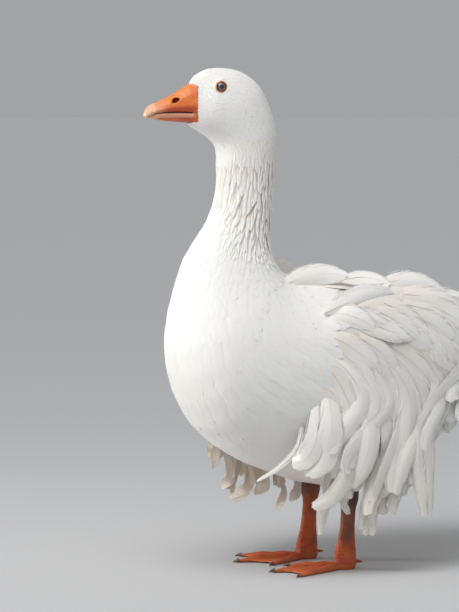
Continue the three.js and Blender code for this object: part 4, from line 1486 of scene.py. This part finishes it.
# Single plumes: four places each from root to tip, half the width, the roll at root and tip, and
# the tone from white to cream
singlePlumes = [
    ((0.113, -0.1150, 0.2500), (0.131, -0.1180, 0.1950), (0.124, -0.1218, 0.1540),
     (0.112, -0.1430, 0.1323), 0.0175, 0.0, 0.5, 0.15),
    ((0.110, -0.1230, 0.2450), (0.123, -0.1340, 0.1850), (0.114, -0.1457, 0.1540),
     (0.104, -0.1596, 0.1485), 0.0155, 0.1, 0.5, 0.1),
    ((0.114, -0.0960, 0.2500), (0.131, -0.0892, 0.1900), (0.125, -0.0960, 0.1490),
     (0.116, -0.1097, 0.1278), 0.0170, 0.0, 0.4, 0.1),
    ((0.112, -0.0700, 0.2450), (0.134, -0.0660, 0.1900), (0.132, -0.0700, 0.1480),
     (0.122, -0.0850, 0.1150), 0.0170, 0.0, 0.3, 0.2),
    ((0.098, -0.1380, 0.2250), (0.105, -0.1482, 0.1723), (0.093, -0.1672, 0.1440),
     (0.084, -0.1959, 0.1265), 0.0038, 0.2, 0.9, 0.0),
    ((0.108, -0.0700, 0.1950), (0.127, -0.0920, 0.1355), (0.115, -0.1064, 0.1032),
     (0.102, -0.1281, 0.0918), 0.0125, 0.1, 0.6, 0.45),
    ((0.070, -0.0821, 0.1040), (0.066, -0.0854, 0.0806), (0.062, -0.0887, 0.0642),
     (0.060, -0.0904, 0.0482), 0.0060, 0.0, 0.5, 0.55),
    ((0.116, 0.0068, 0.2450), (0.133, 0.0066, 0.1817), (0.132, 0.0099, 0.1252),
     (0.128, 0.0207, 0.0725), 0.0105, 0.0, 0.3, 0.35),
    ((0.117, 0.0251, 0.2400), (0.134, 0.0241, 0.1680), (0.131, 0.0266, 0.1176),
     (0.128, 0.0302, 0.0707), 0.0100, 0.0, -0.3, 0.3),
    ((-0.080, -0.1254, 0.1400), (-0.084, -0.1131, 0.1015), (-0.088, -0.1182, 0.0858),
     (-0.090, -0.1349, 0.0777), 0.0080, 0.0, 0.6, 0.3),
    ((-0.084, -0.1174, 0.1400), (-0.086, -0.1051, 0.1050), (-0.089, -0.1122, 0.0838),
     (-0.092, -0.1249, 0.0717), 0.0070, 0.2, 0.8, 0.1),
    ((-0.076, -0.0745, 0.1262), (-0.080, -0.0600, 0.0872), (-0.082, -0.0618, 0.0701),
     (-0.084, -0.0696, 0.0573), 0.0060, 0.0, 0.9, 0.2),
    ((-0.090, -0.1482, 0.1600), (-0.094, -0.1356, 0.1252), (-0.096, -0.1314, 0.1033),
     (-0.096, -0.1433, 0.0905), 0.0090, 0.0, 0.6, 0.6),
    ((-0.096, -0.1610, 0.1900), (-0.098, -0.1584, 0.1650), (-0.099, -0.1549, 0.1530),
     (-0.100, -0.1528, 0.1450), 0.0070, 0.0, 0.3, 0.5),
    ((-0.076, -0.1000, 0.1350), (-0.080, -0.0886, 0.1052), (-0.082, -0.0904, 0.0904),
     (-0.084, -0.1012, 0.0811), 0.0100, 0.0, 0.6, 0.7),
    ((-0.070, -0.0555, 0.1250), (-0.072, -0.0451, 0.0931), (-0.072, -0.0466, 0.0788),
     (-0.074, -0.0530, 0.0700), 0.0080, 0.0, 0.5, 0.8),
    # over the left shoulder's ridge
    ((0.1040, -0.1120, 0.3300), (0.1110, -0.0850, 0.3415), (0.1145, -0.0550, 0.3500),
     (0.1170, -0.0200, 0.3510), 0.0170, 0.5, 0.9, 0.1),
]
# Three broad feathers on the left of the back
backPlumes = [
    ((0.0570, -0.1430, 0.3626), (0.0550, -0.1173, 0.3690), (0.0570, -0.0822, 0.3754),
     (0.0660, -0.0541, 0.3712), 0.0160, 0.45, 0.6, 0.05),
    ((0.0660, -0.0629, 0.3665), (0.0680, -0.0377, 0.3695), (0.0740, -0.0179, 0.3667),
     (0.0840, -0.0035, 0.3581), 0.0145, 0.45, 0.6, 0.1),
    ((0.0800, -0.0158, 0.3607), (0.0780, 0.0183, 0.3644), (0.0780, 0.0530, 0.3594),
     (0.0800, 0.0883, 0.3406), 0.0165, 0.45, 0.7, 0.1),
]


# The same plume on the bird's other side
def mirrored(plume):
    places = [(-x, y, z) for x, y, z in plume[:4]]
    half, rollFrom, rollTo, tone = plume[4:]
    return (*places, half, -rollFrom, -rollTo, tone)


singlePlumes.append(mirrored(singlePlumes[-1]))
singlePlumes += [*backPlumes, *(mirrored(plume) for plume in backPlumes)]


def growSinglePlumes():
    look = plumes | {"outline": (0.01, 0.93, 0.6), "fringe": 14, "beyond": 0.03}
    knots = np.array([spots[:4] for spots in singlePlumes])
    half, rollFrom, rollTo, tones = np.array([spots[4:] for spots in singlePlumes]).T
    before = 2 * knots[:, :1] - knots[:, 1:2]
    after = 2 * knots[:, -1:] - knots[:, -2:-1]
    knots = np.concatenate([before, knots, after], axis=1)
    rows = []
    for t in np.linspace(0, 2.9999, look["rows"]):
        k, u = int(t) + 1, t - int(t)
        a, b, c, d = (knots[:, k + i] for i in (-1, 0, 1, 2))
        rows.append(0.5 * (2 * b + (c - a) * u + (2 * a - 5 * b + 4 * c - d) * u**2
                           + (3 * b - a - 3 * c + d) * u**3))
    paths = np.stack(rows, axis=1)
    _, normals = ontoGround(paths[:, 0])
    ups = np.repeat(normals[:, None], look["rows"], axis=1)
    t = np.linspace(0, 1, look["rows"])[None]
    ups = rolled(paths, ups, rollFrom[:, None] + (rollTo - rollFrom)[:, None] * t**1.5)
    share, _, around = alongSpine(paths[:, 0])
    return coatPiece("single_plumes", plumeParts(
        paths, ups, half, unwrapOf(share, around), tones, look))


# The tail: a drooping fan. At the root, middle and tip of its outer feather on the left: the
# place, and how far the feathers there droop and step back from the middle one
tailFan = {
    "count": 14, "half": 0.0165, "rows": 9, "columns": 5, "thick": 0.0003,
    "cup": 0.12, "fray": 0.05, "fold": 0.03,
    "fringe": 16, "bare": 0.15, "run": 0.22, "beyond": 0.08, "inner": 0.6, "locks": 1.2,
    "loose": 0.04, "fat": 0.12, "ridge": 0.5, "shaft": 0.0006,
    "stops": [((0.020, 0.150, 0.287), 0.008, 0), ((0.050, 0.219, 0.288), 0.010, 0.006),
              ((0.084, 0.288, 0.248), 0.020, 0.034)],
    "uneven": 0.004, "overlap": 0.0012,
}


def growTail():
    look = tailFan
    count = look["count"]
    share = np.linspace(-1, 1, count)
    t = np.linspace(0, 1, look["rows"])[None, :, None]
    stops = []
    for (x, y, z), droop, back in look["stops"]:
        stops.append(np.stack([share * x, y - back * share**2, z - droop * share**2], axis=1))
    start, middle, end = (stop[:, None] for stop in stops)
    end = end + look["uneven"] * dice.normal(size=end.shape)
    over = 2 * middle - (start + end) / 2
    paths = start * (1 - t) ** 2 + 2 * over * t * (1 - t) + end * t**2
    step = look["overlap"] * np.abs(share)[:, None]
    paths[..., 2] += step * np.linspace(1, 0, look["rows"])[None]
    up = unit(np.stack([share * 0.35, np.full(count, 0.25), np.ones(count)], axis=1))
    ups = np.broadcast_to(up[:, None], paths.shape)
    shareAlong, _, around = alongSpine(paths[:, 0])
    roots = unwrapOf(shareAlong, around)
    half = np.full(count, look["half"])
    tones = dice.random(count)
    parts = [sheets(paths - ups * 0.0004, ups, half, roots, tones, look),
             shafts(paths, ups, np.full(count, look["shaft"]), roots, tones)]
    parts += fringe(paths, ups, half, roots, tones, look)
    return coatPiece("tail_feathers", parts)


def growWing(name):
    look, side = looseFeathers, sides[name]
    upper = growLoose(f"back_feathers_{name}", look, lambda points, share, around:
                      (onWing(points) > look["backShare"]) & (side * points[:, 0] > 0)
                      & (points[:, 2] > look["backFrom"]))
    finishCoat(upper, "loose", "plumage_loose")
    lower = growLoose(f"wing_feathers_{name}", look, lambda points, share, around:
                      (onWing(points) > look["wingShare"]) & (side * points[:, 0] > 0)
                      & (points[:, 2] < look["wingTo"])
                      & (points[:, 2] > look["wingFrom"]
                         + look["wingRise"] * smoothStep(0.0, 0.05, points[:, 1])))
    finishCoat(lower, "loose", "plumage_loose", f"wing_{name}")


growHead()
growNeck()
growContour()
for name in sides:
    growWing(name)
    finishCoat(growPlumes(name), "drape", "plumage_loose")
finishCoat(growSinglePlumes(), "drape", "plumage_loose")
finishCoat(growTail(), "loose", "plumage_loose", "tail")
print("coat grown")


# The eyeball, the bulge of its front, and the edges of its coloured rings, as distances from
# its axis
eyeLook = {
    "radius": 0.0074, "segments": 48, "rings": 40, "bulge": 0.0006, "bulgeReach": 0.0052,
    "pupil": (0.00225, 0.00285), "iris": (0.0035, 0.0047), "rim": (0.0053, 0.0060),
    "rayScale": 9, "rays": (0.35, 0.65), "roughness": 0.25, "gloss": 0.03,
    "deepBlue": (0.045, 0.072, 0.16), "paleBlue": (0.15, 0.205, 0.33),
    "darkBlue": (0.016, 0.022, 0.05), "brown": (0.10, 0.055, 0.045),
    "black": (0.008, 0.009, 0.014),
}


def eyeMaterial():
    look = eyeLook
    material, tree, shader = newMaterial("eye")
    ring = attributeOf(tree, "ring")
    spoke = addNode(tree, "ShaderNodeAttribute", attribute_name="spoke").outputs["Vector"]
    rays = noiseNode(tree, spoke, look["rayScale"], 3, 0.6)
    colour = layer(tree, look["deepBlue"], rays, look["rays"], look["paleBlue"])
    colour = layer(tree, colour, ring, look["iris"], look["darkBlue"])
    colour = layer(tree, colour, ring, look["rim"], look["brown"])
    colour = layer(tree, look["black"], ring, look["pupil"], colour)
    tree.links.new(colour, shader.inputs["Base Color"])
    setInputs(shader, Roughness=look["roughness"])
    shader.inputs["Coat Weight"].default_value = 1.0
    shader.inputs["Coat Roughness"].default_value = look["gloss"]
    return material


def makeEyes():
    look = eyeLook
    material = eyeMaterial()
    for name, side in sides.items():
        bpy.ops.mesh.primitive_uv_sphere_add(
            segments=look["segments"], ring_count=look["rings"], radius=look["radius"])
        eye = bpy.context.active_object
        eye.name = eye.data.name = f"eyeball_{name}"
        points = pointsOf(eye)
        ring = np.hypot(points[:, 0], points[:, 1])
        front = points[:, 2] > 0
        rise = look["bulge"] * np.clip(1 - (ring / look["bulgeReach"]) ** 2, 0, 1) * front
        spoke = np.stack([points[:, 0], points[:, 1], 0 * ring], axis=1)
        spoke = spoke / np.maximum(ring, 1e-5)[:, None]
        ring = np.where(front, ring, look["radius"])
        axis = headSide * side
        placed = (points[:, :1] * headForward * side + points[:, 1:2] * np.array([0, 0, 1.0])
                  + (points[:, 2] + rise)[:, None] * axis) + eyeCentre[name]
        movePoints(eye, placed)
        addAttribute(eye, "ring", ring)
        addAttribute(eye, "spoke", spoke, "FLOAT_VECTOR")
        turnOutward(eye)
        shadeSmooth(eye)
        eye.data.materials.append(material)
        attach(eye, "root")
        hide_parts(f"eye_{name}")


makeEyes()
print("eyes ready")


# The bill's colours. yellow is also the painted highlight on the ridge and the nostril's rim, nostril
# and mouth are painted shade in the nostril and along the mouth's line, and deep is also painted shade
# at the bill's rear
hornColours = {
    "orange": (0.73, 0.14, 0.020), "deep": (0.55, 0.072, 0.012), "yellow": (0.82, 0.25, 0.038),
    "salmon": (0.76, 0.29, 0.14), "nail": (0.78, 0.46, 0.27), "nostril": (0.16, 0.008, 0.006),
    "mouth": (0.15, 0.065, 0.038), "peach": (0.72, 0.40, 0.26),
}


# Where they lie on the bill: limits of the height, of the place ahead of the neck's axis, of the
# rings round the nostril and of noise, and the shares they lead to
hornLook = {
    "cloudScale": 70, "cloud": (0.35, 0.7), "low": (0.5860, 0.5765),
    "ridgeHighlightSlope": 0.56, "ridge": (0.6375, 0.6440, 0, 0.6), "nostrilRim": (2.3, 1.3, 0, 0.8),
    "nostril": (1.15, 0.75), "tip": (0.099, 0.112, 0, 0.85), "nail": (0.1145, 0.1190),
    "upperEdge": (0.5752, 0.5737, 0, 0.85), "edgeTo": (0.122, 0.108), "edgeFrom": (0.0680, 0.0715),
    "peachFrom": (0.0650, 0.0700), "peach": (0.5672, 0.5690, 0, 0.8),
    "lowerEdgeFrom": (0.0690, 0.0715), "lowerEdge": (0.5725, 0.5736), "lowerNail": (0.108, 0.119),
    "rear": (0.0730, 0.0665, 0, 0.35), "gapeHeight": 0.5744, "gapeTo": (0.0720, 0.0700, 0, 0.85),
    "gapeHalf": (0.0009, 0.0003), "freckleScale": 420, "freckles": (0.50, 0.75, 0, 0.25),
    "roughness": 0.42, "coat": 0.2, "coatRoughness": 0.3,
    "fineScale": 700, "broadScale": 160, "broadShare": 1.5, "bump": 0.35, "relief": 0.0004,
}


def billMaterial(name):
    look, c = hornLook, hornColours
    material, tree, shader = newMaterial(f"bill {name}")
    ahead, height, ring = (attributeOf(tree, key) for key in ("ahead", "height", "nostril"))
    place = placeOf(tree)
    cloud = noiseNode(tree, place, look["cloudScale"], 3, 0.6)
    if name == "upper":
        colour = layer(tree, c["orange"], cloud, look["cloud"], c["yellow"])
        colour = layer(tree, colour, height, look["low"], c["deep"])
        # painted highlight: yellow along the top of the upper bill, where the light from above falls
        ridge = mathNode(tree, "ADD", product(tree, ahead, look["ridgeHighlightSlope"]), height)
        colour = layer(tree, colour, ridge, look["ridge"], c["yellow"])
        # painted highlight: yellow on the raised rim round the nostril
        colour = layer(tree, colour, ring, look["nostrilRim"], c["yellow"])
        # painted shade: near-black red inside the nostril's hollow
        colour = layer(tree, colour, ring, look["nostril"], c["nostril"])
        colour = layer(tree, colour, ahead, look["tip"], c["salmon"])
        colour = layer(tree, colour, ahead, look["nail"], c["nail"])
        # painted shade: dark along the upper bill's lower edge, in the mouth's line between the halves
        edge = product(tree, rangeNode(tree, height, *look["upperEdge"]),
                       rangeNode(tree, ahead, *look["edgeTo"]),
                       rangeNode(tree, ahead, *look["edgeFrom"]))
        colour = mixNode(tree, edge, colour, c["mouth"])
    else:
        colour = layer(tree, c["deep"], cloud, look["cloud"], c["orange"])
        peach = product(tree, rangeNode(tree, ahead, *look["peachFrom"]),
                        rangeNode(tree, height, *look["peach"]))
        colour = mixNode(tree, peach, colour, c["peach"])
        # painted shade: dark along the lower bill's upper edge, in the mouth's line
        edge = product(tree, rangeNode(tree, ahead, *look["lowerEdgeFrom"]),
                       rangeNode(tree, height, *look["lowerEdge"]))
        colour = mixNode(tree, edge, colour, c["mouth"])
        colour = layer(tree, colour, ahead, look["lowerNail"], c["nail"])
    # painted shade: deeper orange at the bill's rear, under the edge of the face's feathers
    colour = layer(tree, colour, ahead, look["rear"], c["deep"])
    # painted shade: dark at the gape's corner, between the bill's halves
    away = mathNode(tree, "ABSOLUTE", mathNode(tree, "SUBTRACT", height, look["gapeHeight"]))
    gapeShade = product(tree, rangeNode(tree, ahead, *look["gapeTo"]),
                   rangeNode(tree, away, *look["gapeHalf"]))
    colour = mixNode(tree, gapeShade, colour, c["mouth"])
    freckles = noiseNode(tree, place, look["freckleScale"], 3, 0.6)
    colour = layer(tree, colour, freckles, look["freckles"], c["deep"])
    tree.links.new(colour, shader.inputs["Base Color"])
    setInputs(shader, Roughness=look["roughness"])
    shader.inputs["Coat Weight"].default_value = look["coat"]
    shader.inputs["Coat Roughness"].default_value = look["coatRoughness"]
    broad = product(tree, noiseNode(tree, place, look["broadScale"], 2), look["broadShare"])
    fine = mathNode(tree, "ADD", noiseNode(tree, place, look["fineScale"], 3, 0.6), broad)
    addBump(tree, shader, fine, look["bump"], look["relief"])
    return material


billMaterials = {name: billMaterial(name) for name in horns}


def finishBill():
    for name, piece in horns.items():
        piece.data.materials.append(billMaterials[name])
        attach(piece, "root")
        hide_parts(f"bill_{name}")


finishBill()
print("bill finished")


# The legs: fineness, the height of the feathering's edge, the rings round the shank's foot, the
# swelling of the joint above it, and how far a shank goes on up inside the thigh
legs = {
    "voxel": 0.0013, "smoothing": 5, "top": 0.1025, "wrinkle": 0.0005, "wrinkleStep": 0.0042,
    "knee": 0.0022, "kneeHeight": 0.092, "kneeReach": 0.012, "intoThigh": 0.03,
}
# The legs' colours
legColours = {
    "orange": (0.56, 0.105, 0.022), "deep": (0.36, 0.050, 0.014), "brown": (0.15, 0.055, 0.030),
    "dark": (0.035, 0.020, 0.016), "web": (0.60, 0.14, 0.035),
}


def addLegs(body):
    for name in sides:
        leg = copyOfNodes([f"shank_{name}", f"foot_{name}"], f"leg_{name}")
        applyModifier(leg, "REMESH", mode="VOXEL", voxel_size=legs["voxel"])
        applyModifier(leg, "SMOOTH", factor=0.5, iterations=legs["smoothing"])
        points, normals = pointsOf(leg), normalsOf(leg)
        z = points[:, 2]
        turn = z * 2 * math.pi / legs["wrinkleStep"]
        wrinkles = legs["wrinkle"] * np.sin(turn + 2 * np.sin(points[:, 0] * 260))
        wrinkles *= smoothStep(0.008, 0.016, z) * (1 - smoothStep(0.030, 0.045, z))
        knee = legs["knee"] * np.exp(-((z - legs["kneeHeight"]) / legs["kneeReach"]) ** 2)
        points = points + normals * (wrinkles + knee)[:, None] * (z > 0.004)[:, None]
        points[:, 2] += legs["intoThigh"] * smoothStep(0.085, 0.107, points[:, 2])
        movePoints(leg, points)
        boolean(body, leg, "UNION")
    shadeSmooth(body)


# Where they lie on the legs: limits of noise, of the height and of the place to the left. The shanks
# turn brown and then near-black towards their tops, starting lower on the left leg.
legLook = {
    "cloudScale": 55, "cloud": (0.35, 0.68), "lower": (-0.01, 0.01, 0.028, 0.0),
    "uneven": (0.2, 0.8, -0.014, 0.014), "brown": (0.026, 0.058, 0, 0.85),
    "dark": (0.060, 0.082, 0, 0.9), "scales": 420.0, "scaleEdge": (0.0, 0.16),
    "scaleGap": (0.06, 0.0, 0, 0.22), "webHeight": (0.009, 0.004),
    "webCloud": (0.4, 0.6, 0.2, 0.7), "roughness": 0.5, "bump": 0.4, "relief": 0.0004,
}


def legMaterial():
    look, c = legLook, legColours
    material, tree, shader = newMaterial("leg skin")
    place = placeOf(tree)
    split = splitOf(tree, place)
    cloud = noiseNode(tree, place, look["cloudScale"], 4, 0.6)
    colour = layer(tree, c["orange"], cloud, look["cloud"], c["deep"])
    # brown, then near-black, higher up each shank, starting lower on the left leg
    unevenHeight = mathNode(tree, "SUBTRACT", split["Z"], rangeNode(tree, split["X"], *look["lower"]))
    unevenHeight = mathNode(tree, "ADD", unevenHeight, rangeNode(tree, cloud, *look["uneven"]))
    colour = layer(tree, colour, unevenHeight, look["brown"], c["brown"])
    colour = layer(tree, colour, unevenHeight, look["dark"], c["dark"])
    scales = addNode(tree, "ShaderNodeTexVoronoi", feature="DISTANCE_TO_EDGE")
    setInputs(scales, Scale=look["scales"])
    tree.links.new(place, scales.inputs["Vector"])
    colour = layer(tree, colour, scales.outputs[0], look["scaleGap"], c["brown"])
    web = product(tree, rangeNode(tree, split["Z"], *look["webHeight"]),
                  rangeNode(tree, cloud, *look["webCloud"]))
    colour = mixNode(tree, web, colour, c["web"])
    tree.links.new(colour, shader.inputs["Base Color"])
    setInputs(shader, Roughness=look["roughness"])
    edges = rangeNode(tree, scales.outputs[0], *look["scaleEdge"])
    addBump(tree, shader, edges, look["bump"], look["relief"])
    return material


claws = {
    "voxel": 0.0005, "smoothing": 4, "dark": (0.055, 0.038, 0.030), "light": (0.20, 0.13, 0.09),
    "streakScale": 300, "streaks": (0.35, 0.65), "roughness": 0.35,
}


def clawMaterial():
    material, tree, shader = newMaterial("claw")
    streaks = noiseNode(tree, placeOf(tree), claws["streakScale"], 3)
    colour = layer(tree, claws["dark"], streaks, claws["streaks"], claws["light"])
    tree.links.new(colour, shader.inputs["Base Color"])
    setInputs(shader, Roughness=claws["roughness"])
    return material


def makeClaws():
    names = [f"claw_{name}_{toe}" for name in sides for toe in ("inner", "middle", "outer")]
    piece = copyOfNodes(names, "claws")
    applyModifier(piece, "REMESH", mode="VOXEL", voxel_size=claws["voxel"])
    applyModifier(piece, "SMOOTH", factor=0.5, iterations=claws["smoothing"])
    shadeSmooth(piece)
    piece.data.materials.append(clawMaterial())
    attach(piece, "root")
    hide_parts(*names)


# How much painted shade the skin gets where the feathers' roots show: everywhere, and more on the neck
# and on the wings
rootShade = {"all": 0.08, "neck": 0.75, "wing": 0.5}


# What the skin's materials read: the lids, how much painted shade lies where the feathers' roots show,
# and the places along the bill
def markSkin():
    points = pointsOf(body)
    share, _, _ = alongSpine(points)
    lidShare = np.zeros(len(points))
    for name in sides:
        _, outward, _, away = fromEye(points, name)
        on = 1 - smoothStep(lid["bareTo"], lid["featheredFrom"], away)
        lidShare = np.where(outward > -lid["hole"], np.maximum(lidShare, on), lidShare)
    addAttribute(body, "lid", lidShare)
    # deep is the share of painted shade where the feathers' roots show, most on the neck and the wings
    onNeck = smoothStep(shareAt["nape"], shareAt["high neck"], share) * (
        1 - smoothStep(shareAt["low neck"], shareAt["neck base"] + 0.01, share))
    shade = rootShade["all"] + rootShade["neck"] * onNeck + rootShade["wing"] * onWing(points)
    addAttribute(body, "deep", shade)
    _, ahead, height = headCoords(points)
    for key, values in (("ahead", ahead), ("height", height), ("nostril", np.full(len(points), 9.0))):
        addAttribute(body, key, values)


# The skin's faces: under feathers, bare on the legs, or like the bill's upper or lower half
def paintSkin():
    for material in (skinMaterial(), legMaterial(), billMaterials["upper"], billMaterials["lower"]):
        body.data.materials.append(material)
    middles = np.empty(len(body.data.polygons) * 3)
    body.data.polygons.foreach_get("center", middles)
    middles = middles.reshape(-1, 3)
    _, _, height = headCoords(middles)
    which = np.zeros(len(middles), np.int32)
    which[middles[:, 2] < legs["top"]] = 1
    horny = ~behindBorder(middles, bill["borderRoom"])
    which[horny & (height > bill["mouth"])] = 2
    which[horny & (height <= bill["mouth"]) & (height > bill["chin"])] = 3
    body.data.polygons.foreach_set("material_index", which)
    body.data.update()


addLegs(body)
makeClaws()
markSkin()
paintSkin()
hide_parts("trunk", *(f"{part}_{name}" for part in ("shank", "foot") for name in sides))
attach(body, "root")
print("legs, claws and skin finished")
